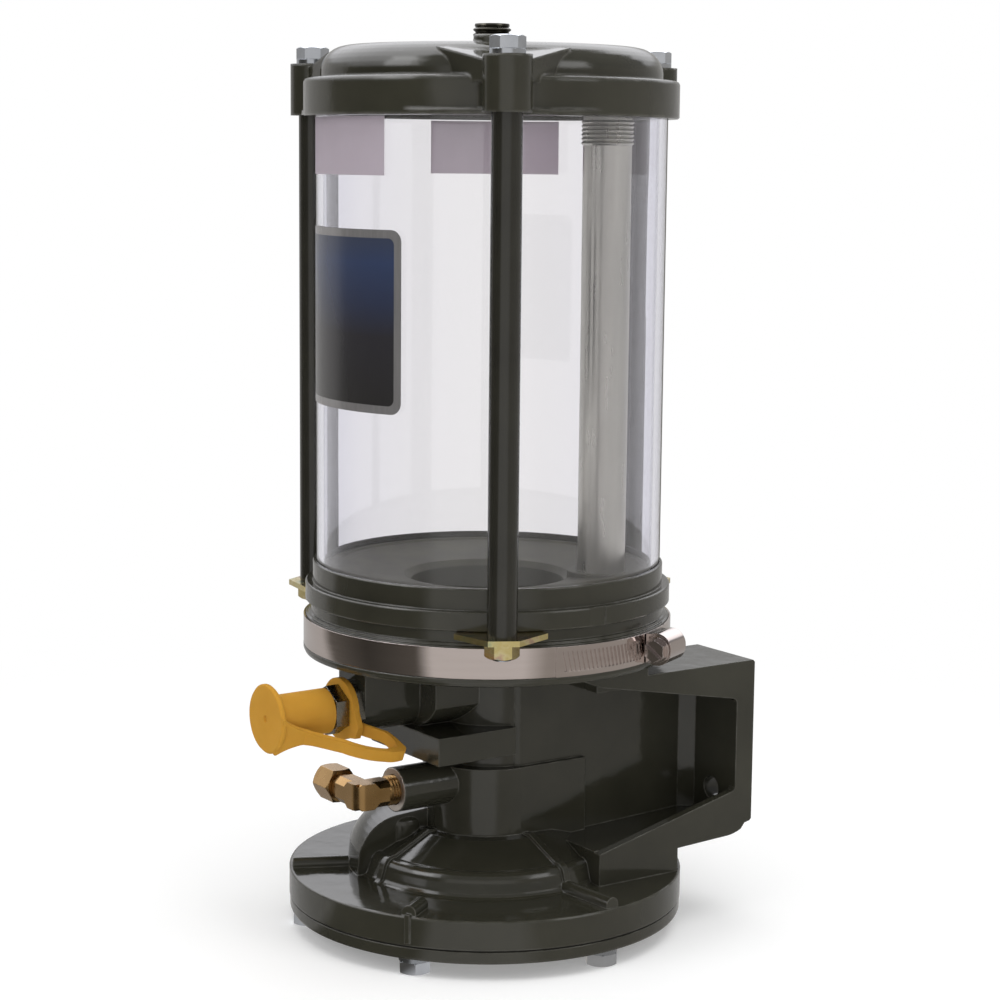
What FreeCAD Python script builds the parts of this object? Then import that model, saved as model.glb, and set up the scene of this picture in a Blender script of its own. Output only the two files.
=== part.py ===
import FreeCAD, Part
import math
import os

# Air-operated grease pump with a clear reservoir.
# Millimetres. The origin is the centre of the base cover's underside, +Z is up along the reservoir's axis
# and +Y points at what the pump is bolted to. The six base bolt heads stand below the origin.

V = FreeCAD.Vector
UP = V(0, 0, 1)
OUT = V(0, -1, 0)
EAST = V(1, 0, 0)

# Arcs of turned outlines become runs of about this length, at most this many
ARC_RUN = 1.6
ARC_STEPS = 8

# Fasteners, 5/16 inch
BOLT_R = 3.97
BOLT_HOLE_R = 4.15
TAPPED_R = 4.05
HEX_AF = 12.7
HEAD_H = 5.4
WASHER_T = 2.1
WASHER_R = 7.3
NUT_H = 6.5

# Base: cover, gasket and the flange of the housing
FLANGE_R = 88.6
COVER_R = FLANGE_R - 0.3
COVER_T = 5.6
SPOT_FACE_R = 8.3
SPOT_FACE_DEPTH = 0.3
GASKET_T = 0.8
GASKET_R = FLANGE_R - 1.0
FLANGE_Z = COVER_T + GASKET_T
FLANGE_TOP = 19.1
BASE_BOLTS = 6
BASE_BOLT_R = FLANGE_R - 8.1
BASE_BOLT_TURN = 4.6
BASE_BOLT_END = 17.0
RIB_H = 4.5
RIB_T = 6.5
RIB_END_R = FLANGE_R - 1.2
RIB_INNER_R = 46.0
STUB_INNER_R = FLANGE_R - 14.6
STUB_TURN = BASE_BOLT_TURN - 60.0
CREST_RIB_TURN = -86.5
CREST_RIB_T = 3.2
CREST_RIB_PROUD = 1.5

# Air cylinder inside the dome
AIR_BORE_R = 46.0
AIR_CEILING = 25.5
PISTON_R = AIR_BORE_R - 0.6
PISTON_T = 7.0
PISTON_REST = COVER_T + 1.6
PISTON_STROKE = 10.0
SEAL_GAP = 0.05
SEAL_GROOVE_R = PISTON_R - 2.8
SPRING_POCKET_R = 15.5
SPRING_POCKET_TOP = 39.0
SPRING_WIRE_R = 1.1
SPRING_COIL_R = 12.2
SPRING_TURNS = 5

# Plunger and its cylinder
PLUNGER_R = 4.75
PLUNGER_BORE_R = 4.8
CYLINDER_R = 8.98
CYLINDER_HOLE_R = 9.0
GLAND_TOP = 44.0
CYLINDER_TOP = 68.0
CHAMBER_TOP = 64.0
PLUNGER_REST_TOP = 50.0
INLET_Z = 53.5
INLET_R = 2.2
CROSS_R = 2.2
GROOVE_R = 7.4

# Housing body
DOME_FOOT_R = 61.0
DOME_SIDE_R = 56.5
DOME_CREST_R = 50.5
DOME_CREST_Z = 29.2
DOME_TOP_R = 33.0
DOME_TOP_Z = 37.5
LOBE_FOOT_R = 62.2
LOBE_SIDE_R = 61.2
LOBE_SIDE_Z = 30.0
LOBE_CREST_R = 44.0
LOBE_CREST_Z = 44.5
LOBE_FROM = -205.0
LOBE_TO = -99.0
KNOB_R = 9.5
KNOB_X = -13.5
KNOB_Y = -36.5
KNOB_TOP = 44.0
BODY_R = 28.5
BODY_BACK = 35.0
BODY_TOP = 68.3
LEDGE_X = 28.0
LEDGE_FRONT = -43.3
LEDGE_BACK = -2.8
LEDGE_BOTTOM = 74.5
LEDGE_TOP = 86.8
COLUMN_R = 25.0
COLUMN_Y = 3.0
NECK_TOP = 118.5
HOPPER_R = 20.0
HOPPER_FLOOR = 70.0
HOPPER_MOUTH_R = 34.0

# Bracket arms
ARM_IN = 21.0
WEB_T = 5.0
ARM_OUT = 61.0
LIP_T = 4.0
PAD_FACE = 105.5
PAD_T = 9.9
PAD_FOOT = 36.0
ARM_TOP = 111.0
ARM_TOP_T = 6.0
ARM_START = 19.4
WEB_FRONT = -1.5
WEB_CHAMFER = 2.2
ARM_NOSE_Y = 8.4
ARM_NOSE_Z = 112.3
ARM_CORNER = 5.6
UPPER_LIP_START = 108.2
ARM_FLOOR = 34.0
ARM_UNDER = 30.0
UPPER_LIP_Z = 94.2
LOWER_LIP_Z = 51.7
FOOT_WALL_END = 63.0
MOUNT_X = 44.0
MOUNT_LOW_Z = 49.0
MOUNT_HIGH_Z = 98.0
MOUNT_HOLE_R = 5.25

# Coupler boss and outlet boss
FILL_X = -7.0
FILL_Z = 97.0
FILL_BOSS_FACE = -66.0
FILL_BOSS_R = 11.2
ROOT_LEFT = -26.0
ROOT_RIGHT = 17.0
ROOT_FRONT = -38.0
FILL_THREAD_R = 6.6
FILL_BORE_R = 4.3
FILL_PASSAGE_R = 3.4
FILL_THREAD_DEPTH = 14.0
OUTLET_X = 5.0
OUTLET_Z = 60.5
OUTLET_FACE = -52.0
OUTLET_BOSS_R = 9.9
OUTLET_THREAD_R = 6.7
OUTLET_THREAD_DEPTH = 8.5
CHECK_BORE_R = 5.0
CHECK_SEAT_R = 3.0
CHECK_SEAT_Y = -22.0
BALL_R = 4.0
CHECK_LIFT = 1.0

# Air inlet, tapped into the flange's side
AIR_PORT_R = 4.3
AIR_PORT_DEPTH = 18.6
AIR_PASSAGE_R = 2.6
AIR_PORT_TURN = 155.0
AIR_PORT_Z = 12.8

# Reservoir tube, which sets the size of everything round it
TUBE_R = 76.2
TUBE_T = 3.2
TUBE_CLEAR = 0.2

# Rim joint between housing and reservoir base, under the clamp band
RIM_R = TUBE_R + 4.8
RIM_LIP_R = RIM_R + 1.0
RIM_BOTTOM = 117.3
RIM_LIP_TOP = 120.9
RIM_TOP = 127.5
RIM_GASKET_T = 0.8
RIM_GASKET_IN = RIM_R - 19.0
BAND_T = 0.8
BAND_BOTTOM = 121.1
BAND_TOP = 134.0
BAND_GAP = 0.12

# Reservoir base ring
NECK_R = RIM_R - 2.4
RING2_R = TUBE_R + 4.9
RING2_BOTTOM = 140.8
RING2_TOP = 149.1
RING_R = TUBE_R + 1.6
RING_TOP = 158.3
TUBE_SEAT = 153.5
TUBE_SEAL_T = 0.9
FLOOR_Z = 155.0

# Top cover
CAP_BOTTOM = 352.0
CAP_TOP = 368.0
CAP_R = TUBE_R + 5.3
CAP_SEAT = 355.6
CROWN_R = TUBE_R - 2.0
CROWN_SIDE = 371.5
CROWN_FLAT_R = CROWN_R - 12.2
CROWN_Z = 381.8
CROWN_MID_Z = 383.3
CAP_WALL = 5.0
EAR_R = 10.0
EAR_BOTTOM = 352.8
EAR_TOP = 375.6
ROD_R = CAP_R + 8.0
ROD_TURNS = (-30.0, 90.0, 210.0)
PAD_BOSS_R = 6.5
PAD_BOSS_AT = CROWN_FLAT_R - 1.0
PAD_BOSS_TURN = -5.0
PAD_BOSS_H = 2.6
GUSSET_HALF = 28.0
GUSSET_AT = CROWN_R - 8.2
NECK_HALF = 15.0
BROW_R = 64.8
BROW_OFFSET = CAP_R + 3.5 - BROW_R
BROW_H = 2.0

# Sleeves and lug plates
SLEEVE_R = 6.35
SLEEVE_BORE_R = 4.4
LUG_T = 2.4
LUG_TOP = RING2_BOTTOM
LUG_HALF_BACK = 19.5
LUG_HALF_FRONT = 6.5
LUG_BACK_R = NECK_R + 0.6
LUG_SIDE_R = LUG_BACK_R + 3.8
LUG_FRONT_R = ROD_R + 9.5

# Vent pipe and plug
PIPE_R = 10.65
PIPE_BORE_R = 7.9
PIPE_AT = TUBE_R - 25.6
PIPE_TURN = 52.22
PIPE_X = PIPE_AT * math.cos(math.radians(PIPE_TURN))
PIPE_Y = PIPE_AT * math.sin(math.radians(PIPE_TURN))
PIPE_BOTTOM = 142.0
PIPE_TOP = 362.0
PLUG_R = 8.2
PLUG_TOP = 392.0

# Labels on the tube
FILM_T = 0.2
FILM_GAP = 0.02
LEVEL_TURNS = (-92.5, 144.6)
LEVEL_HALF_ANGLE = 23.6
LEVEL_BOTTOM = 327.3
LEVEL_TOP = 351.5
PLATE_TURN = -92.5
PLATE_HALF_ANGLE = 30.0
PLATE_BOTTOM = 229.0
PLATE_TOP = 305.2
PLATE_CORNER = 5.0

# Clamp band details
OVERLAP_FROM = -13.5
OVERLAP_TO = 30.0
SLOTS = 20
SLOT_FROM = -11.0
SLOT_TO = 18.0
SLOT_W = 1.25
SLOT_H = 8.6
SCREW_SLOT_TURN = 38.0
WORM_TURN = 26.5
WORM_RADIAL = RIM_R + 7.3
WORM_R = 4.2
WORM_HEAD_R = 5.6
WORM_HEAD_T = 4.0
WORM_BOX_L = 15.0
WORM_BOX_W = 13.0

# Fill coupler and dust cap
CAP_DISC_R = 15.0
CAP_DISC_FACE = -109.0
CAP_DISC_T = 2.4
CAP_END_Y = -79.6
CAP_END_R = 9.9
CAP_ROOT_R = 10.3
NIPPLE_R = 7.5
NIPPLE_END = -100.0
RUN_GAP = 0.3
COLLAR_AF = 19.0
COLLAR_Y = -73.0
NECK_GROOVE_R = 8.9
RING_OUTER_R = 13.6
RING_T = 2.6
POPPET_R = 3.0
POPPET_TRAVEL = 1.2
STRAP_TURN = -27.0
STRAP_W = 5.8
STRAP_T = 2.0
STRAP_END_R = 34.3
STRAP_END_Y = -58.0
STRAP_ROOT_HALF = 9.5

# Outlet elbow, 3/8 inch tube
ELBOW_HALF = 5.8
ELBOW_BEVEL = 2.7
ELBOW_CORNER_Y = -68.0
ELBOW_OUTER_ROUND = 5.2
ELBOW_BORE_R = 2.3
ELBOW_TUBE_R = 4.85
ELBOW_NUT_AF = 14.3
ELBOW_NUT_L = 14.0
ELBOW_END_X = -26.0


def on_circle(radius, degrees, z=0.0):
    """A point at a radius and an angle about the Z axis."""
    a = math.radians(degrees)
    return V(radius * math.cos(a), radius * math.sin(a), z)


def face_of(points, place):
    """A face from (a, b) points; (a, b, mid_a, mid_b) reaches its point by an arc."""
    edges = []
    for i, item in enumerate(points):
        start = place(*points[i - 1][:2])
        end = place(*item[:2])
        if len(item) == 4:
            edges.append(Part.Arc(start, place(*item[2:]), end).toShape())
        else:
            edges.append(Part.makeLine(start, end))
    return Part.Face(Part.Wire(Part.__sortEdges__(edges)))


def chorded(points):
    """The same outline with each arc as short straight runs, which keeps a turned rim light."""
    result = []
    for i, item in enumerate(points):
        if len(item) == 4:
            start = V(*points[i - 1][:2])
            arc = Part.Arc(start, V(*item[2:]), V(*item[:2])).toShape()
            steps = min(ARC_STEPS, max(2, round(arc.Length / ARC_RUN)))
            result += [(q.x, q.y) for q in arc.discretize(steps + 1)[1:]]
        else:
            result.append(item)
    return result


def turned(points, centre=V(0, 0, 0), axis=UP):
    """A solid of revolution from (radius, height along the axis) points."""
    side = UP.cross(axis)
    if side.Length < 1e-6:
        side = EAST
    side.normalize()
    face = face_of(chorded(points), lambda r, t: centre + side * r + axis * t)
    return face.revolve(centre, axis, 360)


def rod(radius, start, end):
    """A round bar between two points."""
    along = end - start
    return Part.makeCylinder(radius, along.Length, start, along)


def tube(outer, inner, start, end):
    return rod(outer, start, end).cut(rod(inner, start, end))


def block(x0, x1, y0, y1, z0, z1):
    return Part.makeBox(x1 - x0, y1 - y0, z1 - z0, V(x0, y0, z0))


def hex_bar(across_flats, start, end, turn=0.0):
    """A hexagonal bar between two points, with a flat facing the turn angle."""
    along = end - start
    axis = V(along).normalize()
    side = UP.cross(axis)
    if side.Length < 1e-6:
        side = EAST
    side.normalize()
    other = axis.cross(side)
    r = across_flats / 2 / math.cos(math.radians(30))
    corners = []
    for k in range(6):
        a = math.radians(turn + 30 + 60 * k)
        corners.append(start + side * (r * math.cos(a)) + other * (r * math.sin(a)))
    wire = Part.makePolygon(corners + corners[:1])
    return Part.Face(wire).extrude(along)


def joined(shapes):
    """One clean solid, or one group of separate ones."""
    whole = shapes[0].multiFuse(shapes[1:]) if len(shapes) > 1 else shapes[0]
    return whole.removeSplitter()


def less(shape, cuts):
    return shape.cut(Part.makeCompound(cuts)) if len(cuts) > 1 else shape.cut(cuts[0])


def turned_copy(shape, degrees):
    copy = shape.copy()
    copy.rotate(V(0, 0, 0), UP, degrees)
    return copy


def rods_of(make):
    """One separate solid at each of the three tie rods, made at angle zero and turned there."""
    return Part.makeCompound([turned_copy(make(), turn) for turn in ROD_TURNS])


def base_bolt_turns():
    return [BASE_BOLT_TURN + 60.0 * (k - 1) for k in range(BASE_BOLTS)]


def sector(r0, r1, z0, z1, start, end):
    """Part of a ring between two angles."""
    face = face_of([(r0, z0), (r1, z0), (r1, z1), (r0, z1)], lambda r, z: on_circle(r, start, z))
    return face.revolve(V(0, 0, 0), UP, end - start)


# Pump housing

def flange_rib(turn):
    """A low radial rib over one bolt, with a rounded top; the one in front is only a stub."""
    r = RIB_T / 2
    low = FLANGE_TOP - 1
    points = [(-r, low), (r, low), (r, FLANGE_TOP + RIB_H - r), (-r, FLANGE_TOP + RIB_H - r, 0, FLANGE_TOP + RIB_H)]
    start = STUB_INNER_R if turn == STUB_TURN else RIB_INNER_R
    face = face_of(points, lambda y, z: V(start, y, z))
    rib = face.extrude(V(RIB_END_R - start, 0, 0))
    if turn == STUB_TURN:
        rib = rib.fuse(block(FLANGE_R - 2, FLANGE_R + 0.7, -1.2, 1.2, FLANGE_Z + 1, FLANGE_TOP + 1))
    return turned_copy(rib, turn)


def dome_side(proud):
    """The dome's outline from its foot over the crest to the roof, moved out by some amount."""
    return [
        (DOME_FOOT_R + proud, FLANGE_TOP - 2), (DOME_FOOT_R + proud, FLANGE_TOP),
        (DOME_SIDE_R + 0.5 + proud, FLANGE_TOP + 3.1, DOME_FOOT_R - 2.8 + proud, FLANGE_TOP + 0.8),
        (DOME_SIDE_R - 0.5 + proud, DOME_CREST_Z - 4.2),
        (DOME_CREST_R + proud * 0.3, DOME_CREST_Z + proud, DOME_CREST_R + 3.9 + proud * 0.7, DOME_CREST_Z - 1 + proud * 0.7),
        (DOME_TOP_R, DOME_TOP_Z + proud),
    ]


def climbing_rib(turn):
    """A thin rib that follows the dome's side and roof."""
    points = [(DOME_TOP_R - 13, FLANGE_TOP - 2)] + dome_side(CREST_RIB_PROUD) + [(DOME_TOP_R - 13, DOME_TOP_Z)]
    face = face_of(points, lambda r, z: V(r, -CREST_RIB_T / 2, z))
    return turned_copy(face.extrude(V(0, CREST_RIB_T, 0)), turn)


def dome():
    """The air cylinder's dome: hollow foot, steep side, rounded crest, sloping roof."""
    return turned([(0, FLANGE_TOP - 2)] + dome_side(0) + [(0, DOME_TOP_Z + 3)])


def lobe():
    """The higher, rounder part of the dome over the air passages on the left, with a knob at its front end."""
    points = [
        (10, FLANGE_TOP - 2), (LOBE_FOOT_R, FLANGE_TOP - 2), (LOBE_FOOT_R, FLANGE_TOP + 2), (LOBE_SIDE_R, LOBE_SIDE_Z),
        (LOBE_CREST_R, LOBE_CREST_Z, LOBE_SIDE_R - 5.2, LOBE_CREST_Z - 6), (10, LOBE_CREST_Z + 4),
    ]
    face = face_of(chorded(points), lambda r, z: on_circle(r, LOBE_FROM, z))
    body = face.revolve(V(0, 0, 0), UP, LOBE_TO - LOBE_FROM)
    knob = turned([
        (0, FLANGE_TOP), (KNOB_R, FLANGE_TOP), (KNOB_R, KNOB_TOP - 4), (KNOB_R - 4, KNOB_TOP, KNOB_R - 1.2, KNOB_TOP - 1.2), (0, KNOB_TOP),
    ], V(KNOB_X, KNOB_Y, 0))
    return body.fuse(knob)


def arm(side):
    """One bracket arm: an open channel with lips, ending in a bolting pad."""
    outline = [
        (ARM_START, FLANGE_TOP - 1), (FOOT_WALL_END, FLANGE_TOP - 1), (FOOT_WALL_END, ARM_UNDER - 0.4),
        (PAD_FACE - 14, ARM_UNDER + 0.8), (PAD_FACE - 6, ARM_UNDER + 2.8, PAD_FACE - 9.5, ARM_UNDER + 1.5),
        (PAD_FACE - 3.8, PAD_FOOT - 0.6), (PAD_FACE - 1, PAD_FOOT), (PAD_FACE, PAD_FOOT + 1),
        (PAD_FACE, ARM_TOP - 1), (PAD_FACE - 1, ARM_TOP), (ARM_START, ARM_TOP),
    ]
    outer = face_of(outline, lambda y, z: V(ARM_IN + WEB_T, y, z)).extrude(V(ARM_OUT - ARM_IN - WEB_T, 0, 0))
    pad_in = PAD_FACE - PAD_T
    window = [
        (ARM_START - 2, UPPER_LIP_START + 0.4), (ARM_START, UPPER_LIP_START), (pad_in - 1.5, UPPER_LIP_Z),
        (pad_in, UPPER_LIP_Z - 1.5), (pad_in, LOWER_LIP_Z + 1), (pad_in - 1, LOWER_LIP_Z - 0.4),
        (ARM_START - 0.5, ARM_FLOOR - 0.6), (ARM_START - 2, ARM_FLOOR - 0.6),
    ]
    opening = face_of(window, lambda y, z: V(ARM_OUT - LIP_T, y, z)).extrude(V(LIP_T + 1, 0, 0))
    cavity = [
        (ARM_START - 2, ARM_TOP - ARM_TOP_T), (pad_in - 2, ARM_TOP - ARM_TOP_T),
        (pad_in, ARM_TOP - ARM_TOP_T - 2, pad_in - 0.6, ARM_TOP - ARM_TOP_T - 0.6),
        (pad_in, ARM_FLOOR + 5), (pad_in - 2, ARM_FLOOR + 3, pad_in - 0.6, ARM_FLOOR + 3.6), (ARM_START - 2, ARM_FLOOR),
    ]
    hollow = face_of(cavity, lambda y, z: V(ARM_IN + WEB_T, y, z)).extrude(V(ARM_OUT - LIP_T - ARM_IN - WEB_T, 0, 0))
    channel = less(outer, [opening, hollow])
    foot = [(WEB_FRONT, ARM_UNDER - 0.4), (PAD_FACE - 14, ARM_UNDER + 0.8)]
    web_outline = foot + [
        (PAD_FACE - 6, ARM_UNDER + 2.8, PAD_FACE - 9.5, ARM_UNDER + 1.5), (PAD_FACE - 3.8, PAD_FOOT - 0.6),
        (PAD_FACE - 1, PAD_FOOT), (PAD_FACE, PAD_FOOT + 1), (PAD_FACE, ARM_TOP - 1), (PAD_FACE - 1, ARM_TOP),
        (50, ARM_TOP), (44, RIM_BOTTOM + 1), (WEB_FRONT, RIM_BOTTOM + 1),
    ]
    web = face_of(web_outline, lambda y, z: V(ARM_IN, y, z)).extrude(V(WEB_T, 0, 0))
    web_face = ARM_IN + WEB_T
    edge = [V(web_face, WEB_FRONT, 0), V(web_face, WEB_FRONT + WEB_CHAMFER, 0), V(web_face - WEB_CHAMFER / 2, WEB_FRONT, 0)]
    web = web.cut(Part.Face(Part.makePolygon(edge + edge[:1])).extrude(V(0, 0, RIM_BOTTOM + 5)))
    # The nose rises from the top plate to the rim's underside
    nose = [
        (ARM_NOSE_Y - 4, RIM_BOTTOM + 1), (ARM_NOSE_Y - 3.6, RIM_BOTTOM), (ARM_NOSE_Y, ARM_NOSE_Z), (ARM_START, UPPER_LIP_START),
        (ARM_START + 25, UPPER_LIP_START), (ARM_START + 25, RIM_BOTTOM + 1),
    ]
    nose = face_of(nose, lambda y, z: V(ARM_IN + 1, y, z)).extrude(V(ARM_OUT - ARM_IN - 1, 0, 0))
    corner = [V(web_face - 1, pad_in - ARM_CORNER, 0), V(web_face, pad_in - ARM_CORNER, 0), V(web_face + ARM_CORNER, pad_in, 0),
              V(web_face + ARM_CORNER, pad_in + 1, 0), V(web_face - 1, pad_in + 1, 0)]
    corner = Part.Face(Part.makePolygon(corner + corner[:1])).extrude(V(0, 0, ARM_TOP - ARM_FLOOR - 2))
    corner.translate(V(0, 0, ARM_FLOOR))
    solid = joined([channel, web, nose, corner])
    holes = []
    for z in (MOUNT_LOW_Z, MOUNT_HIGH_Z):
        holes.append(rod(MOUNT_HOLE_R, V(MOUNT_X, pad_in - 1, z), V(MOUNT_X, PAD_FACE + 1, z)))
    solid = less(solid, holes)
    if side < 0:
        solid = solid.mirror(V(0, 0, 0), EAST)
    return solid


def coupler_boss():
    """Boss under the rim with a round underside, flat at the front for the fill coupler, on a wider root."""
    r = FILL_BOSS_R
    top = RIM_BOTTOM + 1
    points = [(FILL_X - r, top), (FILL_X - r, FILL_Z), (FILL_X + r, FILL_Z, FILL_X, FILL_Z - r), (FILL_X + r, top)]
    face = face_of(points, lambda x, z: V(x, FILL_BOSS_FACE, z))
    nose = face.extrude(V(0, -FILL_BOSS_FACE - 30, 0))
    middle = (ROOT_LEFT + ROOT_RIGHT) / 2
    points = [(ROOT_LEFT, top), (ROOT_LEFT, FILL_Z), (ROOT_RIGHT, FILL_Z, middle, FILL_Z - r), (ROOT_RIGHT, top)]
    root = face_of(points, lambda x, z: V(x, 0, z)).extrude(V(0, ROOT_FRONT, 0))
    return nose.fuse(root)


def lower_body():
    """Block round the plunger: half round in front, straight at the sides."""
    points = [(-BODY_R, BODY_BACK), (BODY_R, BODY_BACK), (BODY_R, 0), (-BODY_R, 0, 0, -BODY_R)]
    return face_of(points, lambda x, y: V(x, y, FLANGE_TOP)).extrude(V(0, 0, BODY_TOP - FLANGE_TOP))


def housing_outside():
    flange = turned([
        (0, FLANGE_Z), (FLANGE_R, FLANGE_Z), (FLANGE_R, FLANGE_TOP - 0.8), (FLANGE_R - 0.8, FLANGE_TOP, FLANGE_R - 0.25, FLANGE_TOP - 0.25),
        (0, FLANGE_TOP),
    ])
    rim = turned([
        (0, RIM_BOTTOM), (RIM_LIP_R - 2, RIM_BOTTOM), (RIM_LIP_R, RIM_BOTTOM + 2, RIM_LIP_R - 0.6, RIM_BOTTOM + 0.6),
        (RIM_LIP_R, RIM_LIP_TOP), (RIM_R, RIM_LIP_TOP), (RIM_R, RIM_TOP), (0, RIM_TOP),
    ])
    pieces = [flange, rim, dome(), lobe(), coupler_boss(), arm(1), arm(-1)]
    pieces += [climbing_rib(turn) for turn in (CREST_RIB_TURN, BASE_BOLT_TURN)]
    pieces += [flange_rib(turn) for turn in base_bolt_turns()]
    pieces.append(lower_body())
    pieces.append(block(-LEDGE_X, LEDGE_X, LEDGE_FRONT, LEDGE_BACK, LEDGE_BOTTOM, LEDGE_TOP))
    pieces.append(rod(COLUMN_R, V(0, COLUMN_Y, FLANGE_TOP), V(0, COLUMN_Y, NECK_TOP)))
    pieces.append(rod(OUTLET_BOSS_R, V(OUTLET_X, OUTLET_FACE, OUTLET_Z), V(OUTLET_X, -18, OUTLET_Z)))
    return joined(pieces)


def housing_passages():
    """Every bore inside the casting."""
    cuts = []
    # Air cylinder, spring pocket and plunger bore, all on the pump's axis
    cuts.append(rod(AIR_BORE_R, V(0, 0, FLANGE_Z - 1), V(0, 0, AIR_CEILING)))
    cuts.append(rod(SPRING_POCKET_R, V(0, 0, AIR_CEILING - 1), V(0, 0, SPRING_POCKET_TOP)))
    cuts.append(rod(CYLINDER_HOLE_R, V(0, 0, SPRING_POCKET_TOP - 1), V(0, 0, CYLINDER_TOP)))
    # Hopper with its funnel mouth
    cuts.append(rod(HOPPER_R, V(0, COLUMN_Y, HOPPER_FLOOR), V(0, COLUMN_Y, RIM_TOP)))
    cuts.append(turned([(0, RIM_TOP - 5), (24, RIM_TOP - 5), (HOPPER_MOUTH_R, RIM_TOP + 0.01), (0, RIM_TOP + 0.01)]))
    # Feed drilling from the hopper floor to the plunger cylinder
    cuts.append(rod(3.0, V(0, 14, INLET_Z), V(0, 14, HOPPER_FLOOR + 1)))
    cuts.append(rod(3.0, V(0, CYLINDER_R - 1, INLET_Z), V(0, 15, INLET_Z)))
    # Outlet drilling, check valve bore and tapped port
    cuts.append(rod(CHECK_SEAT_R, V(OUTLET_X, -5.5, OUTLET_Z), V(OUTLET_X, CHECK_SEAT_Y, OUTLET_Z)))
    cuts.append(rod(CHECK_BORE_R, V(OUTLET_X, CHECK_SEAT_Y, OUTLET_Z), V(OUTLET_X, OUTLET_FACE, OUTLET_Z)))
    mouth = OUTLET_FACE + OUTLET_THREAD_DEPTH
    cuts.append(rod(OUTLET_THREAD_R, V(OUTLET_X, mouth, OUTLET_Z), V(OUTLET_X, OUTLET_FACE - 1, OUTLET_Z)))
    # Fill port
    deep = FILL_BOSS_FACE + FILL_THREAD_DEPTH
    cuts.append(rod(FILL_THREAD_R, V(FILL_X, FILL_BOSS_FACE - 1, FILL_Z), V(FILL_X, deep, FILL_Z)))
    cuts.append(rod(FILL_PASSAGE_R, V(FILL_X, deep, FILL_Z), V(FILL_X, -12, FILL_Z)))
    # Air inlet through the flange and the drain below the vent pipe
    port = FLANGE_R - AIR_PORT_DEPTH
    cuts.append(rod(AIR_PORT_R, on_circle(FLANGE_R + 2, AIR_PORT_TURN, AIR_PORT_Z), on_circle(port, AIR_PORT_TURN, AIR_PORT_Z)))
    cuts.append(rod(AIR_PASSAGE_R, on_circle(port + 1, AIR_PORT_TURN, AIR_PORT_Z), on_circle(40, AIR_PORT_TURN, AIR_PORT_Z)))
    cuts.append(rod(7.0, V(PIPE_X, PIPE_Y, RIM_BOTTOM - 1), V(PIPE_X, PIPE_Y, RIM_TOP + 1)))
    for turn in base_bolt_turns():
        cuts.append(rod(TAPPED_R, on_circle(BASE_BOLT_R, turn, FLANGE_Z - 1), on_circle(BASE_BOLT_R, turn, BASE_BOLT_END + 0.6)))
    return cuts


def pump_housing():
    return less(housing_outside(), housing_passages())


# Base

def base_cover():
    """Round plate, spot faced underneath for the lock washers."""
    plate = turned([
        (0, 0), (COVER_R - 1.2, 0), (COVER_R, 1.2, COVER_R - 0.35, 0.35), (COVER_R, COVER_T), (0, COVER_T),
    ])
    cuts = []
    for turn in base_bolt_turns():
        cuts.append(rod(BOLT_HOLE_R, on_circle(BASE_BOLT_R, turn, -1), on_circle(BASE_BOLT_R, turn, COVER_T + 1)))
        cuts.append(rod(SPOT_FACE_R, on_circle(BASE_BOLT_R, turn, -1), on_circle(BASE_BOLT_R, turn, SPOT_FACE_DEPTH)))
    return less(plate, cuts)


def base_gasket():
    ring = tube(GASKET_R, AIR_BORE_R + 2, V(0, 0, COVER_T), V(0, 0, FLANGE_Z))
    holes = [rod(BOLT_HOLE_R, on_circle(BASE_BOLT_R, t, COVER_T - 1), on_circle(BASE_BOLT_R, t, FLANGE_Z + 1)) for t in base_bolt_turns()]
    return less(ring, holes)


def bolt_head(start, up):
    """A hex head with a chamfered face; start is the face that clamps."""
    head = hex_bar(HEX_AF, start, start + up * HEAD_H)
    corner = HEX_AF / 2 / math.cos(math.radians(30))
    dome_cut = turned([
        (0, 0), (corner + 1, 0), (corner + 1, HEAD_H - 1.2), (HEX_AF / 2 - 0.5, HEAD_H), (0, HEAD_H),
    ], start, up)
    return head.common(dome_cut)


def base_bolts():
    solids = []
    for turn in base_bolt_turns():
        face = on_circle(BASE_BOLT_R, turn, SPOT_FACE_DEPTH - WASHER_T)
        shank = rod(BOLT_R, face, on_circle(BASE_BOLT_R, turn, BASE_BOLT_END))
        solids.append(bolt_head(face, V(0, 0, -1)).fuse(shank).removeSplitter())
    return Part.makeCompound(solids)


def base_lock_washers():
    return Part.makeCompound([
        tube(WASHER_R - 0.4, BOLT_HOLE_R, on_circle(BASE_BOLT_R, t, SPOT_FACE_DEPTH - WASHER_T), on_circle(BASE_BOLT_R, t, SPOT_FACE_DEPTH))
        for t in base_bolt_turns()])


# Air piston, plunger and their springs and seals

def air_piston():
    top = PISTON_REST + PISTON_T
    mid = PISTON_REST + PISTON_T / 2
    return turned([
        (PLUNGER_R + 0.02, PISTON_REST), (PISTON_R, PISTON_REST), (PISTON_R, mid - 1.9), (SEAL_GROOVE_R, mid - 1.9),
        (SEAL_GROOVE_R, mid + 1.9), (PISTON_R, mid + 1.9), (PISTON_R, top), (PLUNGER_R + 0.02, top),
    ])


def piston_seal():
    mid = PISTON_REST + PISTON_T / 2
    outer = AIR_BORE_R - SEAL_GAP
    return turned([
        (SEAL_GROOVE_R + 0.05, mid - 1.8), (outer - 1, mid - 1.8), (outer, mid), (outer - 1, mid + 1.8), (SEAL_GROOVE_R + 0.05, mid + 1.8),
    ])


def plunger():
    """Rod riveted into the piston, with a shoulder under it and a chamfered tip."""
    low = PISTON_REST - 1.2
    return turned([
        (0, low), (7.5, low), (7.5, PISTON_REST), (PLUNGER_R, PISTON_REST), (PLUNGER_R, PLUNGER_REST_TOP - 1),
        (PLUNGER_R - 1, PLUNGER_REST_TOP), (0, PLUNGER_REST_TOP),
    ])


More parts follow.
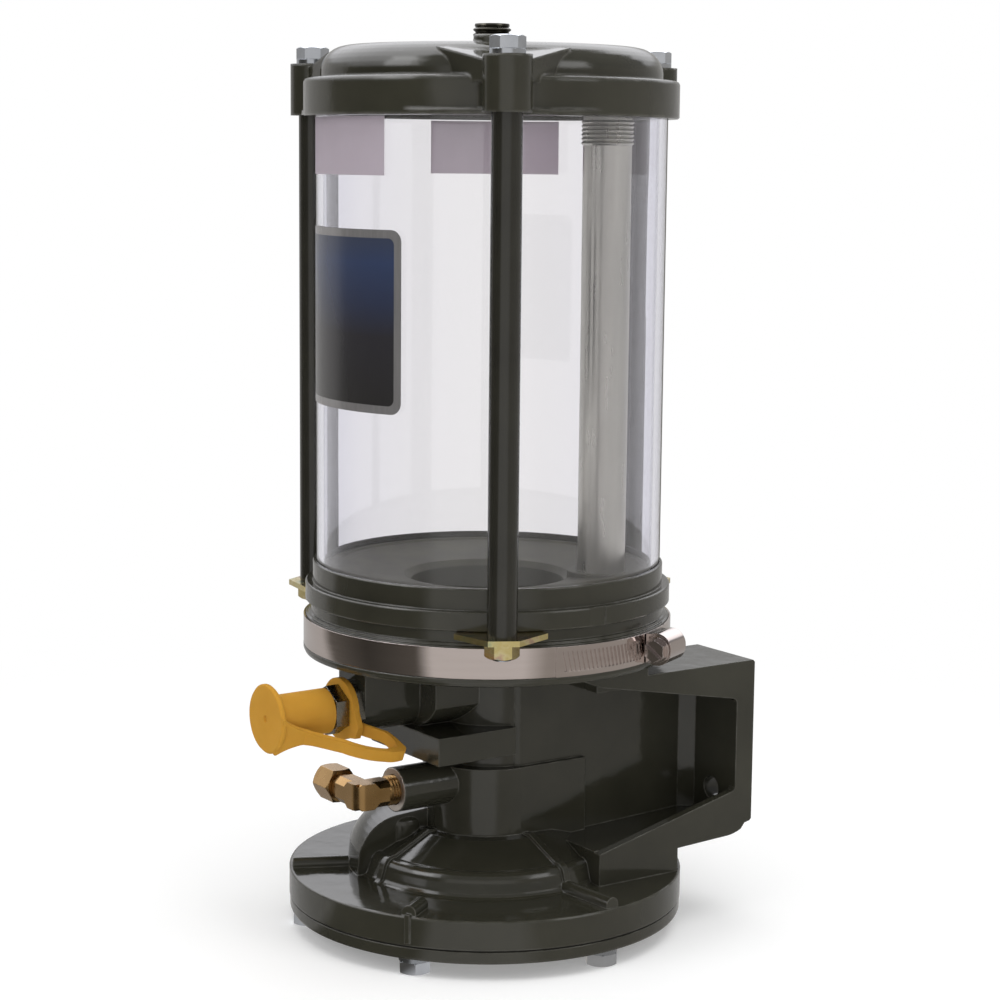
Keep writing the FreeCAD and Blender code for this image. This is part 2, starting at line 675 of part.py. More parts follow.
def plunger_seal():
    return tube(CYLINDER_R, PLUNGER_BORE_R, V(0, 0, SPRING_POCKET_TOP), V(0, 0, GLAND_TOP))


def plunger_cylinder():
    """Hardened sleeve, closed at the top, with a feed hole and a grooved outlet hole."""
    body = rod(CYLINDER_R, V(0, 0, GLAND_TOP), V(0, 0, CYLINDER_TOP))
    cuts = [rod(PLUNGER_BORE_R, V(0, 0, GLAND_TOP - 1), V(0, 0, CHAMBER_TOP))]
    cuts.append(rod(INLET_R, V(0, 0, INLET_Z), V(0, CYLINDER_R + 1, INLET_Z)))
    cuts.append(rod(CROSS_R, V(0, 0, OUTLET_Z), V(0, -CYLINDER_R - 1, OUTLET_Z)))
    cuts.append(tube(CYLINDER_R + 1, GROOVE_R, V(0, 0, OUTLET_Z - 2.6), V(0, 0, OUTLET_Z + 2.6)))
    return less(body, cuts)


def coil_spring(wire_r, coil_r, length, turns, start, axis):
    """An open coil spring along an axis."""
    pitch = (length - 2 * wire_r) / turns
    path = Part.makeHelix(pitch, pitch * turns, coil_r)
    profile = Part.Wire(Part.makeCircle(wire_r, V(coil_r, 0, 0), V(0, 1, 0)))
    coil = Part.Wire(path).makePipeShell([profile], True, True)
    coil.translate(V(0, 0, wire_r))
    turn = FreeCAD.Rotation(UP, axis)
    coil.Placement = FreeCAD.Placement(start, turn).multiply(coil.Placement)
    return coil


def return_spring():
    low = PISTON_REST + PISTON_T + 0.1
    return coil_spring(SPRING_WIRE_R, SPRING_COIL_R, SPRING_POCKET_TOP - 0.1 - low, SPRING_TURNS, V(0, 0, low), UP)


# Outlet check valve

def check_ball():
    seat_gap = math.sqrt(BALL_R ** 2 - CHECK_SEAT_R ** 2) + 0.02
    return Part.makeSphere(BALL_R, V(OUTLET_X, CHECK_SEAT_Y - seat_gap, OUTLET_Z))


def check_spring():
    """Drawn clear of the ball's lift, seated on the elbow's end."""
    start = CHECK_SEAT_Y - math.sqrt(BALL_R ** 2 - CHECK_SEAT_R ** 2) - BALL_R - CHECK_LIFT - 0.1
    stop = OUTLET_FACE + OUTLET_THREAD_DEPTH
    return coil_spring(0.4, 2.9, start - stop, 4, V(OUTLET_X, start, OUTLET_Z), OUT)


# Rim joint and reservoir base

def rim_gasket():
    return tube(RIM_R - 1.5, RIM_GASKET_IN, V(0, 0, RIM_TOP), V(0, 0, RIM_TOP + RIM_GASKET_T))


def reservoir_base():
    """Cast ring: clamped skirt, neck, ring over the lug plates, tube seat and floor."""
    low = RIM_TOP + RIM_GASKET_T
    tube_in = TUBE_R - TUBE_T - TUBE_CLEAR
    tube_out = TUBE_R + TUBE_CLEAR
    ring = turned([
        (HOPPER_MOUTH_R, low), (HOPPER_MOUTH_R + 5, low), (HOPPER_MOUTH_R + 5, low + 12),
        (RIM_R - 11, low + 12), (RIM_R - 11, low),
        (RIM_R - 0.1, low), (RIM_R - 0.1, BAND_TOP + 0.4), (NECK_R + 1, BAND_TOP + 0.7), (NECK_R + 1, BAND_TOP + 1.5),
        (NECK_R, BAND_TOP + 1.9), (NECK_R, RING2_BOTTOM), (RING2_R - 0.5, RING2_BOTTOM), (RING2_R, RING2_BOTTOM + 0.5),
        (RING2_R, RING2_TOP - 0.7), (RING2_R - 0.7, RING2_TOP, RING2_R - 0.2, RING2_TOP - 0.2), (RING_R, RING2_TOP),
        (RING_R, RING_TOP - 0.6), (RING_R - 0.6, RING_TOP, RING_R - 0.18, RING_TOP - 0.18), (tube_out, RING_TOP),
        (tube_out, TUBE_SEAT), (tube_in, TUBE_SEAT), (tube_in, FLOOR_Z + 0.8), (tube_in - 1.5, FLOOR_Z + 0.8),
        (tube_in - 3, FLOOR_Z), (HOPPER_MOUTH_R + 3, FLOOR_Z - 3.5), (HOPPER_MOUTH_R, FLOOR_Z - 6),
    ])
    boss = rod(PIPE_R + 4.5, V(PIPE_X, PIPE_Y, low + 3), V(PIPE_X, PIPE_Y, FLOOR_Z - 1))
    notch = turned_copy(block(RING2_R - 0.45, RING2_R + 1, -20, 0, RING2_BOTTOM - 1, RING2_TOP + 1), 4.0)
    cuts = [
        rod(PIPE_R + 0.05, V(PIPE_X, PIPE_Y, PIPE_BOTTOM), V(PIPE_X, PIPE_Y, FLOOR_Z + 2)),
        rod(7.0, V(PIPE_X, PIPE_Y, low), V(PIPE_X, PIPE_Y, PIPE_BOTTOM + 1)),
        notch,
    ]
    return less(joined([ring, boss]), cuts)


def tube_seal(z):
    return tube(TUBE_R - 0.05, TUBE_R - TUBE_T + 0.05, V(0, 0, z), V(0, 0, z + TUBE_SEAL_T))


def reservoir_tube():
    return tube(TUBE_R, TUBE_R - TUBE_T, V(0, 0, TUBE_SEAT + TUBE_SEAL_T), V(0, 0, CAP_SEAT - TUBE_SEAL_T))


def vent_pipe():
    chamfer = 0.8
    return turned([
        (PIPE_BORE_R, PIPE_BOTTOM), (PIPE_R - chamfer, PIPE_BOTTOM), (PIPE_R, PIPE_BOTTOM + chamfer),
        (PIPE_R, PIPE_TOP - chamfer), (PIPE_R - chamfer, PIPE_TOP), (PIPE_BORE_R, PIPE_TOP),
    ], V(PIPE_X, PIPE_Y, 0))


# Top cover

def gusset():
    """Flared web from an ear up to the crown."""
    far = GUSSET_AT
    near = ROD_R - 2
    low = CAP_TOP - 3
    levels = []
    for half, z in ((GUSSET_HALF - 4, low), (GUSSET_HALF, CROWN_Z)):
        corners = [V(far, -half, z), V(near, -EAR_R + 1.5, z), V(near, EAR_R - 1.5, z), V(far, half, z)]
        levels.append(Part.makePolygon(corners + corners[:1]))
    web = Part.makeLoft(levels, True, True)
    slope = face_of([(far - 1, CROWN_Z - 2.2), (near + 1, EAR_TOP - 2.4), (near + 1, CROWN_Z + 5), (far - 1, CROWN_Z + 5)],
                    lambda x, z: V(x, -40, z)).extrude(V(0, 80, 0))
    return web.cut(slope)


def ear_neck():
    """Joins an ear to the rim, narrowing to the ear in two hollow curves."""
    root = CAP_R - 2.5
    tip = EAR_R - 0.8
    points = [
        (root - 4, -NECK_HALF), (root, -NECK_HALF), (ROD_R - 2, -tip, root + 2.4, -tip - 1.3), (ROD_R, -tip), (ROD_R, tip),
        (ROD_R - 2, tip), (root, NECK_HALF, root + 2.4, tip + 1.3), (root - 4, NECK_HALF),
    ]
    plan = face_of(points, lambda x, y: V(x, y, EAR_BOTTOM))
    return plan.extrude(V(0, 0, CAP_TOP - 1 - EAR_BOTTOM))


def brow():
    """Thin ledge that swells out of the rim's lower edge on both sides of an ear."""
    return rod(BROW_R, V(BROW_OFFSET, 0, CAP_BOTTOM + 0.4), V(BROW_OFFSET, 0, CAP_BOTTOM + 0.4 + BROW_H))


def top_cover():
    shoulder_r = CROWN_FLAT_R + (CROWN_R - CROWN_FLAT_R) * 0.72
    shoulder_z = CROWN_SIDE + (CROWN_Z - CROWN_SIDE) * 0.68
    outside = turned([
        (0, CAP_BOTTOM), (CAP_R - 0.6, CAP_BOTTOM), (CAP_R, CAP_BOTTOM + 0.6), (CAP_R, CAP_TOP - 1.6),
        (CAP_R - 1.6, CAP_TOP, CAP_R - 0.5, CAP_TOP - 0.5), (CROWN_R, CAP_TOP), (CROWN_R, CROWN_SIDE),
        (CROWN_FLAT_R, CROWN_Z, shoulder_r, shoulder_z), (0, CROWN_MID_Z),
    ])
    pieces = [outside]
    for turn in ROD_TURNS:
        ear = rod(EAR_R, V(ROD_R, 0, EAR_BOTTOM), V(ROD_R, 0, EAR_TOP))
        pad = turned([
            (0, CROWN_Z - 2), (PAD_BOSS_R, CROWN_Z - 2), (PAD_BOSS_R, CROWN_Z + PAD_BOSS_H - 0.5),
            (PAD_BOSS_R - 0.5, CROWN_Z + PAD_BOSS_H), (0, CROWN_Z + PAD_BOSS_H),
        ], on_circle(PAD_BOSS_AT, PAD_BOSS_TURN))
        pieces += [turned_copy(p, turn) for p in (ear, pad, ear_neck(), brow(), gusset())]
    inner = TUBE_R - TUBE_T - TUBE_CLEAR
    bore = inner - 4.0
    hollow = turned([
        (0, CAP_BOTTOM - 1), (bore, CAP_BOTTOM - 1), (bore, CROWN_SIDE - 4), (CROWN_FLAT_R - 4, CROWN_Z - CAP_WALL, bore - 2.5, CROWN_SIDE + 1),
        (0, CROWN_MID_Z - CAP_WALL),
    ])
    body = joined(pieces).cut(hollow)
    pipe_boss = rod(PIPE_R + 4.5, V(PIPE_X, PIPE_Y, CAP_BOTTOM + 1.5), V(PIPE_X, PIPE_Y, CROWN_Z - 2))
    plug_boss = rod(PLUG_R + 4.5, V(0, 0, CROWN_Z - 12), V(0, 0, CROWN_Z))
    body = joined([body, pipe_boss, plug_boss])
    cuts = [
        tube(TUBE_R + TUBE_CLEAR, inner, V(0, 0, CAP_BOTTOM - 1), V(0, 0, CAP_SEAT)),
        rod(PIPE_R + 0.05, V(PIPE_X, PIPE_Y, CAP_BOTTOM), V(PIPE_X, PIPE_Y, PIPE_TOP)),
        rod(5.0, V(PIPE_X, PIPE_Y, PIPE_TOP - 1), V(PIPE_X, PIPE_Y, CROWN_Z - 8)),
        rod(2.5, V(PIPE_X, PIPE_Y, CROWN_Z - 12), V(0, 0, CROWN_Z - 12) + V(PIPE_X, PIPE_Y, 0) * 0.55),
        rod(PLUG_R + 0.05, V(0, 0, CROWN_Z - 13), V(0, 0, CROWN_MID_Z + 1)),
    ]
    cuts += [rod(BOLT_HOLE_R, on_circle(ROD_R, t, EAR_BOTTOM - 1), on_circle(ROD_R, t, EAR_TOP + 1)) for t in ROD_TURNS]
    return less(body, cuts)


def vent_plug():
    """Threaded plug with a hex socket; the thread is drawn as rings."""
    points = [(0, CROWN_Z - 11)]
    pitch = 2.2
    root = PLUG_R - 1.1
    z = CROWN_Z - 11
    points.append((root, z))
    while z + pitch < PLUG_TOP - 0.6:
        points.append((PLUG_R, z + pitch * 0.4))
        points.append((PLUG_R, z + pitch * 0.6))
        z += pitch
        points.append((root, z))
    points += [(PLUG_R - 0.6, PLUG_TOP - 0.9), (PLUG_R - 0.8, PLUG_TOP), (0, PLUG_TOP)]
    socket = hex_bar(8.0, V(0, 0, PLUG_TOP - 5), V(0, 0, PLUG_TOP + 1))
    return turned(points).cut(socket)


# Tie rods

def tie_bolt():
    seat = V(ROD_R, 0, EAR_TOP + WASHER_T)
    low = V(ROD_R, 0, LUG_TOP - LUG_T - NUT_H - 0.8)
    return bolt_head(seat, UP).fuse(rod(BOLT_R, low, seat)).removeSplitter()


def tie_washer():
    return tube(WASHER_R, BOLT_HOLE_R, V(ROD_R, 0, EAR_TOP), V(ROD_R, 0, EAR_TOP + WASHER_T))


def sleeve():
    return tube(SLEEVE_R, SLEEVE_BORE_R, V(ROD_R, 0, LUG_TOP), V(ROD_R, 0, EAR_BOTTOM))


def lug_plate():
    """Flat plate hooked under the reservoir base's ring, hollowed to fit round its neck."""
    corners = [
        V(LUG_BACK_R - 4, -LUG_HALF_BACK + 3, 0), V(LUG_SIDE_R, -LUG_HALF_BACK, 0), V(LUG_FRONT_R, -LUG_HALF_FRONT, 0),
        V(LUG_FRONT_R, LUG_HALF_FRONT, 0), V(LUG_SIDE_R, LUG_HALF_BACK, 0), V(LUG_BACK_R - 4, LUG_HALF_BACK - 3, 0),
    ]
    plan = Part.Face(Part.makePolygon(corners + corners[:1]))
    plan.translate(V(0, 0, LUG_TOP - LUG_T))
    plate = plan.extrude(V(0, 0, LUG_T))
    cuts = [rod(LUG_BACK_R, V(0, 0, LUG_TOP - LUG_T - 1), V(0, 0, LUG_TOP + 1))]
    cuts.append(rod(BOLT_HOLE_R, V(ROD_R, 0, LUG_TOP - LUG_T - 1), V(ROD_R, 0, LUG_TOP + 1)))
    return less(plate, cuts)


def tie_nut():
    top = LUG_TOP - LUG_T
    nut = hex_bar(HEX_AF, V(ROD_R, 0, top - NUT_H), V(ROD_R, 0, top))
    corner = HEX_AF / 2 / math.cos(math.radians(30))
    rounded = turned([
        (TAPPED_R, top - NUT_H), (HEX_AF / 2 - 0.4, top - NUT_H), (corner + 0.5, top - NUT_H + 1.2),
        (corner + 0.5, top), (TAPPED_R, top),
    ], V(ROD_R, 0, 0))
    return nut.common(rounded)


# Clamp band

def clamp_band():
    inner = RIM_R + BAND_GAP
    outer = inner + BAND_T
    ring = tube(outer, inner, V(0, 0, BAND_BOTTOM), V(0, 0, BAND_TOP))
    tail = sector(outer, outer + BAND_T * 0.8, BAND_BOTTOM, BAND_TOP, OVERLAP_FROM, OVERLAP_TO)
    band = ring.fuse(tail)
    mid = (BAND_BOTTOM + BAND_TOP) / 2
    slots = []
    for k in range(SLOTS):
        turn = SLOT_FROM + (SLOT_TO - SLOT_FROM) * k / (SLOTS - 1)
        slot = block(outer, outer + 2, -SLOT_W / 2, SLOT_W / 2, mid - SLOT_H / 2, mid + SLOT_H / 2)
        slot.rotate(V(outer, 0, mid), EAST, 12)
        slots.append(turned_copy(slot, turn))
    return less(band, slots)


def worm_axis():
    """The screw's centre and the direction its head faces, tangent to the band."""
    centre = on_circle(WORM_RADIAL, WORM_TURN, (BAND_BOTTOM + BAND_TOP) / 2)
    heading = on_circle(1, WORM_TURN - 90)
    return centre, heading


def clamp_housing():
    """Folded saddle round the screw, seated on the band's overlap."""
    centre, heading = worm_axis()
    radial = on_circle(1, WORM_TURN)
    seat = RIM_R + BAND_GAP + BAND_T * 1.8 + 0.05 - WORM_RADIAL
    half = WORM_BOX_W / 2
    top = WORM_R + 1.9
    points = [
        (seat, -half), (seat, half), (seat + 2.4, half), (top, 0, top * 0.66, half * 0.80), (seat + 2.4, -half, top * 0.66, -half * 0.80),
    ]
    start = centre - heading * WORM_BOX_L / 2
    saddle = face_of(points, lambda a, b: start + radial * a + UP * b).extrude(heading * WORM_BOX_L)
    bore = rod(WORM_R + 0.35, start - heading, start + heading * (WORM_BOX_L + 1))
    under = rod(RIM_R + BAND_GAP + BAND_T * 1.8 + 0.05, V(0, 0, BAND_BOTTOM - 1), V(0, 0, BAND_TOP + 1))
    return less(saddle, [bore, under])


def clamp_screw():
    """Worm with a slotted hex head and a collar."""
    centre, heading = worm_axis()
    face = centre + heading * (WORM_BOX_L / 2 + 0.3)
    worm = rod(WORM_R, centre - heading * (WORM_BOX_L / 2 + 1.5), face)
    collar = rod(WORM_HEAD_R, face, face + heading * 1.3)
    head = hex_bar(8.6, face + heading * 1.3, face + heading * WORM_HEAD_T)
    end = face + heading * WORM_HEAD_T
    turn = math.radians(SCREW_SLOT_TURN)
    level = heading.cross(UP)
    side = level * math.cos(turn) + UP * math.sin(turn)
    over = UP * math.cos(turn) - level * math.sin(turn)
    slot = Part.makePolygon([end + side * a + over * b for a, b in ((-6, -0.7), (6, -0.7), (6, 0.7), (-6, 0.7), (-6, -0.7))])
    slot = Part.Face(slot).extrude(heading * -1.6)
    slot = slot.fuse(slot.translated(heading * 0.5))
    return joined([worm, collar, head]).cut(slot)


# Fill coupler and its dust cap

def fill_at(y):
    return V(FILL_X, y, FILL_Z)


def fill_coupler():
    """Nipple, hex collar, grooved neck, hex base and thread, bored through for the poppet."""
    base = hex_bar(21.0, fill_at(FILL_BOSS_FACE), fill_at(FILL_BOSS_FACE - 3.7), 15)
    collar = hex_bar(COLLAR_AF, fill_at(COLLAR_Y), fill_at(CAP_END_Y + RUN_GAP), 0)
    stem = turned([
        (0, -FILL_BOSS_FACE - FILL_THREAD_DEPTH), (FILL_THREAD_R - 0.05, -FILL_BOSS_FACE - FILL_THREAD_DEPTH),
        (FILL_THREAD_R - 0.05, -FILL_BOSS_FACE), (NECK_GROOVE_R, -FILL_BOSS_FACE), (NECK_GROOVE_R, -CAP_END_Y - 1),
        (NIPPLE_R, -CAP_END_Y - 1), (NIPPLE_R, -NIPPLE_END - 5), (NIPPLE_R - 1.3, -NIPPLE_END - 4), (NIPPLE_R - 1.3, -NIPPLE_END - 2.5),
        (NIPPLE_R, -NIPPLE_END - 1.5), (NIPPLE_R - 1, -NIPPLE_END), (0, -NIPPLE_END),
    ], V(FILL_X, 0, FILL_Z), OUT)
    bore = turned([
        (0, -FILL_BOSS_FACE - FILL_THREAD_DEPTH - 1), (FILL_BORE_R, -FILL_BOSS_FACE - FILL_THREAD_DEPTH - 1),
        (FILL_BORE_R, -NIPPLE_END - 4), (POPPET_R - 0.6, -NIPPLE_END - 1.6), (POPPET_R - 0.6, -NIPPLE_END + 1), (0, -NIPPLE_END + 1),
    ], V(FILL_X, 0, FILL_Z), OUT)
    return less(joined([base, collar, stem]), [bore])


def coupler_poppet():
    """Valve head behind the nipple's seat, on a short guide stem."""
    seat = -NIPPLE_END - 4.2
    return turned([
        (0, seat - 14), (1.2, seat - 14), (1.2, seat - 3), (POPPET_R + 0.9, seat - 3), (POPPET_R + 0.9, seat),
        (POPPET_R - 0.9, seat + 2.2), (0, seat + 2.2),
    ], V(FILL_X, 0, FILL_Z), OUT)


def coupler_spring():
    """Drawn clear of the poppet's travel, seated on the ledge at the bottom of the bore."""
    start = -NIPPLE_END - 4.2 - 3 - POPPET_TRAVEL - 0.1
    stop = -FILL_BOSS_FACE - FILL_THREAD_DEPTH
    return coil_spring(0.45, 3.4, start - stop, 8, fill_at(-start), V(0, 1, 0))


def strap_directions():
    """Outward from the coupler's axis along the strap, and across its width."""
    turn = math.radians(STRAP_TURN)
    return V(math.cos(turn), 0, math.sin(turn)), V(-math.sin(turn), 0, math.cos(turn))


def strap():
    """Folded strap from the cap's disc to the ring on the coupler's neck, widening towards the disc."""
    radial, across = strap_directions()
    ring_y = COLLAR_Y + RING_T / 2 + 0.15
    disc_y = CAP_DISC_FACE + CAP_DISC_T / 2
    end_r = STRAP_END_R
    end_y = STRAP_END_Y
    t = STRAP_T
    outer = [
        (8, disc_y - 1), (13, disc_y - 1), (15.5, -97.5, 14.2, disc_y + 4), (24.8, -83.4), (end_r, -67, 31.0, -75.0),
        (end_r + 0.8, end_y - 1.6, end_r + 1.0, -63.0), (end_r - 2.2, end_y + 0.2, end_r - 0.2, end_y + 0.2),
        (22.0, -60.4, 27.5, end_y - 0.6), (RING_OUTER_R - 0.6, ring_y + t / 2 + 0.1),
    ]
    inner = [
        (RING_OUTER_R - 0.6, ring_y - t / 2 + 0.1), (21.4, -62.6), (end_r - 2.4, -61.2, 27.2, end_y - 2.6),
        (end_r - t, -66.6), (23.2, -81.8, 29.0, -74.4), (13.4, -96.4), (11.6, disc_y + 1, 12.1, disc_y + 5), (8, disc_y + 1),
    ]
    side = face_of(outer + inner, lambda r, y: V(FILL_X, y, FILL_Z) + radial * r - across * 12)
    band = side.extrude(across * 24)
    half = STRAP_W / 2
    root = STRAP_ROOT_HALF
    edge = [
        (disc_y - 2, -root), (disc_y, -root), (-92.5, -half, -99.5, -half - 1.3), (end_y + 3, -half), (end_y + 3, half),
        (-92.5, half), (disc_y, root, -99.5, half + 1.3), (disc_y - 2, root),
    ]
    width = face_of(edge, lambda y, b: V(FILL_X, y, FILL_Z) + radial * 6 + across * b)
    return band.common(width.extrude(radial * (end_r + 10)))


def ring_tab():
    """Web between the ring and the strap."""
    radial, across = strap_directions()
    start = fill_at(COLLAR_Y + 0.15)
    half = STRAP_W / 2
    corners = [start + radial * a + across * b for a, b in ((10.2, -8), (17.5, -half), (17.5, half), (10.2, 8))]
    return Part.Face(Part.makePolygon(corners + corners[:1])).extrude(V(0, RING_T, 0))


def dust_cap():
    """Cap, strap and ring moulded in one piece."""
    length = -CAP_DISC_FACE
    inside = NIPPLE_R + RUN_GAP
    cap = turned([
        (0, length - 0.9), (1.1, length - 0.9), (1.6, length), (CAP_DISC_R - 0.8, length), (CAP_DISC_R, length - 0.8),
        (CAP_DISC_R, length - CAP_DISC_T + 0.6), (CAP_DISC_R - 0.6, length - CAP_DISC_T), (CAP_ROOT_R - 0.6, length - CAP_DISC_T - 0.6),
        (CAP_END_R, -CAP_END_Y), (inside, -CAP_END_Y), (inside, -NIPPLE_END + 1.5), (0, -NIPPLE_END + 1.5),
    ], V(FILL_X, 0, FILL_Z), OUT)
    ring = tube(RING_OUTER_R, NECK_GROOVE_R + RUN_GAP, fill_at(COLLAR_Y + 0.15), fill_at(COLLAR_Y + 0.15 + RING_T))
    web = ring_tab().cut(rod(RING_OUTER_R - 1.5, fill_at(COLLAR_Y - 5), fill_at(COLLAR_Y + 8)))
    return joined([cap, ring, web, strap()])


# Outlet elbow

def elbow_at(x, y):
    return V(x, y, OUTLET_Z)


def bevelled_bar(half, bevel, start, end, side):
    """A square bar with bevelled long edges."""
    a = half
    b = half - bevel
    ring = [(a, b), (b, a), (-b, a), (-a, b), (-a, -b), (-b, -a), (b, -a), (a, -b)]
    corners = [start + side * u + UP * v for u, v in ring]
    return Part.Face(Part.makePolygon(corners + corners[:1])).extrude(end - start)


def outlet_elbow():
    """Forged elbow with bevelled edges and a rounded outer corner, threaded into the boss."""
    corner = elbow_at(OUTLET_X, ELBOW_CORNER_Y)
    thread_end = OUTLET_FACE + OUTLET_THREAD_DEPTH - 0.2
    leg_face = OUTLET_FACE - 5.2
    half = ELBOW_HALF
    leg_one = bevelled_bar(half, ELBOW_BEVEL, elbow_at(OUTLET_X, leg_face), corner + V(0, -half, 0), EAST)
    leg_two = bevelled_bar(half, ELBOW_BEVEL, corner + V(half, 0, 0), elbow_at(-8.5, ELBOW_CORNER_Y), V(0, 1, 0))
    r = ELBOW_OUTER_ROUND
    x = OUTLET_X + half
    y = ELBOW_CORNER_Y - half
    plan = [
        (-20, y), (x - r, y), (x, y + r, x - r * 0.293, y + r * 0.293), (x, leg_face), (-20, leg_face),
    ]
    outer = face_of(plan, lambda a, b: V(a, b, OUTLET_Z - 9)).extrude(V(0, 0, 18))
    body = joined([leg_one, leg_two]).common(outer)
    pitch = 1.41
    y = thread_end
    points = [(ELBOW_BORE_R, -y), (OUTLET_THREAD_R - 0.9, -y)]
    while y - pitch > leg_face:
        points.append((OUTLET_THREAD_R - 0.06, -(y - pitch * 0.5)))
        y -= pitch
        points.append((OUTLET_THREAD_R - 0.9, -y))
    points += [(OUTLET_THREAD_R - 0.9, -leg_face + 1), (ELBOW_BORE_R, -leg_face + 1)]
    thread = turned(points, V(OUTLET_X, 0, OUTLET_Z), OUT)
    collar = rod(ELBOW_HALF - 0.3, elbow_at(-8, ELBOW_CORNER_Y), elbow_at(-10.5, ELBOW_CORNER_Y))
    spigot = rod(5.6, elbow_at(-8, ELBOW_CORNER_Y), elbow_at(-18, ELBOW_CORNER_Y))
    cuts = [
        rod(ELBOW_BORE_R, elbow_at(OUTLET_X, thread_end + 1), corner),
        rod(ELBOW_BORE_R, corner, elbow_at(-20, ELBOW_CORNER_Y)),
        rod(ELBOW_TUBE_R, elbow_at(-11, ELBOW_CORNER_Y), elbow_at(-20, ELBOW_CORNER_Y)),
    ]
    return less(joined([body, thread, collar, spigot]), cuts)


def elbow_nut():
    start = elbow_at(ELBOW_END_X, ELBOW_CORNER_Y)
    end = start + EAST * ELBOW_NUT_L
    corner = ELBOW_NUT_AF / 2 / math.cos(math.radians(30))
    blank = hex_bar(ELBOW_NUT_AF, start, end, 90)
    rounded = turned([
        (0, 0), (ELBOW_NUT_AF / 2 - 0.9, 0), (corner, 2.2), (corner, ELBOW_NUT_L - 1), (ELBOW_NUT_AF / 2, ELBOW_NUT_L), (0, ELBOW_NUT_L),
    ], start, EAST)
    cuts = [rod(ELBOW_TUBE_R, start - EAST, end), rod(5.65, start + EAST * 6.0, end + EAST)]
    return less(blank.common(rounded), cuts)


def elbow_ferrule():
    """Compression ring between the nut's step and the elbow's mouth."""
    start = elbow_at(ELBOW_END_X + 6.05, ELBOW_CORNER_Y)
    return turned([(ELBOW_TUBE_R, 0), (5.6, 0), (5.6, 0.6), (ELBOW_TUBE_R + 0.1, 1.9), (ELBOW_TUBE_R, 1.9)], start, EAST)


# Labels

def film(turn, half_angle, low, high, corner):
    """A thin curved label on the outside of the tube, with rounded corners."""
    inner = TUBE_R + FILM_GAP
    patch = sector(inner, inner + FILM_T, low, high, turn - half_angle, turn + half_angle)
    if corner <= 0:
        return patch
    half = math.radians(half_angle) * inner
    length = 2 * half
    plan = Part.makeBox(20, length, high - low, V(inner - 10, -half, low))
    edges = [e for e in plan.Edges if abs(e.Vertexes[0].Point.x - e.Vertexes[1].Point.x) > 1]
    plan = plan.makeFillet(corner, edges)
    # The corners are cut by four small posts shaped like the waste of the rounding
    waste = Part.makeBox(20, length, high - low, V(inner - 10, -half, low)).cut(plan)
    cuts = []
    for piece in waste.Solids:
        side = 1 if piece.CenterOfMass.y > 0 else -1
        moved = piece.translated(V(0, -side * half, 0))
        cuts.append(turned_copy(moved, turn + side * half_angle))
    return patch.cut(Part.makeCompound(cuts))


def level_labels():
    return Part.makeCompound([film(turn, LEVEL_HALF_ANGLE, LEVEL_BOTTOM, LEVEL_TOP, 0) for turn in LEVEL_TURNS])


def name_label():
    return film(PLATE_TURN, PLATE_HALF_ANGLE, PLATE_BOTTOM, PLATE_TOP, PLATE_CORNER)


PARTS = {
    "pump_housing": pump_housing,
    "base_cover": base_cover,
    "base_gasket": base_gasket,
    "base_bolts": base_bolts,
    "base_lock_washers": base_lock_washers,
    "air_piston": air_piston,
    "piston_seal": piston_seal,
    "plunger": plunger,
    "plunger_seal": plunger_seal,
    "plunger_cylinder": plunger_cylinder,
    "return_spring": return_spring,
    "check_ball": check_ball,
    "check_spring": check_spring,
    "rim_gasket": rim_gasket,
    "reservoir_base": reservoir_base,
    "lower_tube_seal": lambda: tube_seal(TUBE_SEAT),
    "reservoir_tube": reservoir_tube,
    "upper_tube_seal": lambda: tube_seal(CAP_SEAT - TUBE_SEAL_T),
    "vent_pipe": vent_pipe,
    "top_cover": top_cover,
    "vent_plug": vent_plug,
    "tie_bolts": lambda: rods_of(tie_bolt),
    "tie_bolt_washers": lambda: rods_of(tie_washer),
    "tie_rod_sleeves": lambda: rods_of(sleeve),
    "lug_plates": lambda: rods_of(lug_plate),
    "tie_rod_nuts": lambda: rods_of(tie_nut),
    "clamp_band": clamp_band,
    "clamp_housing": clamp_housing,
    "clamp_screw": clamp_screw,
    "fill_coupler": fill_coupler,
    "coupler_poppet": coupler_poppet,
    "coupler_spring": coupler_spring,
    "dust_cap": dust_cap,
    "outlet_elbow": outlet_elbow,
    "elbow_nut": elbow_nut,
    "elbow_ferrule": elbow_ferrule,
    "level_labels": level_labels,
    "name_label": name_label,
}

os.makedirs("parts", exist_ok=True)
for name, make in PARTS.items():
    shape = make()
    print(name, "solids", len(shape.Solids), "valid", shape.isValid(), "volume", round(shape.Volume, 1))
    shape.exportStep("parts/" + name + ".step")
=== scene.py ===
import math

import bmesh
import bpy
from mathutils import Matrix, Vector


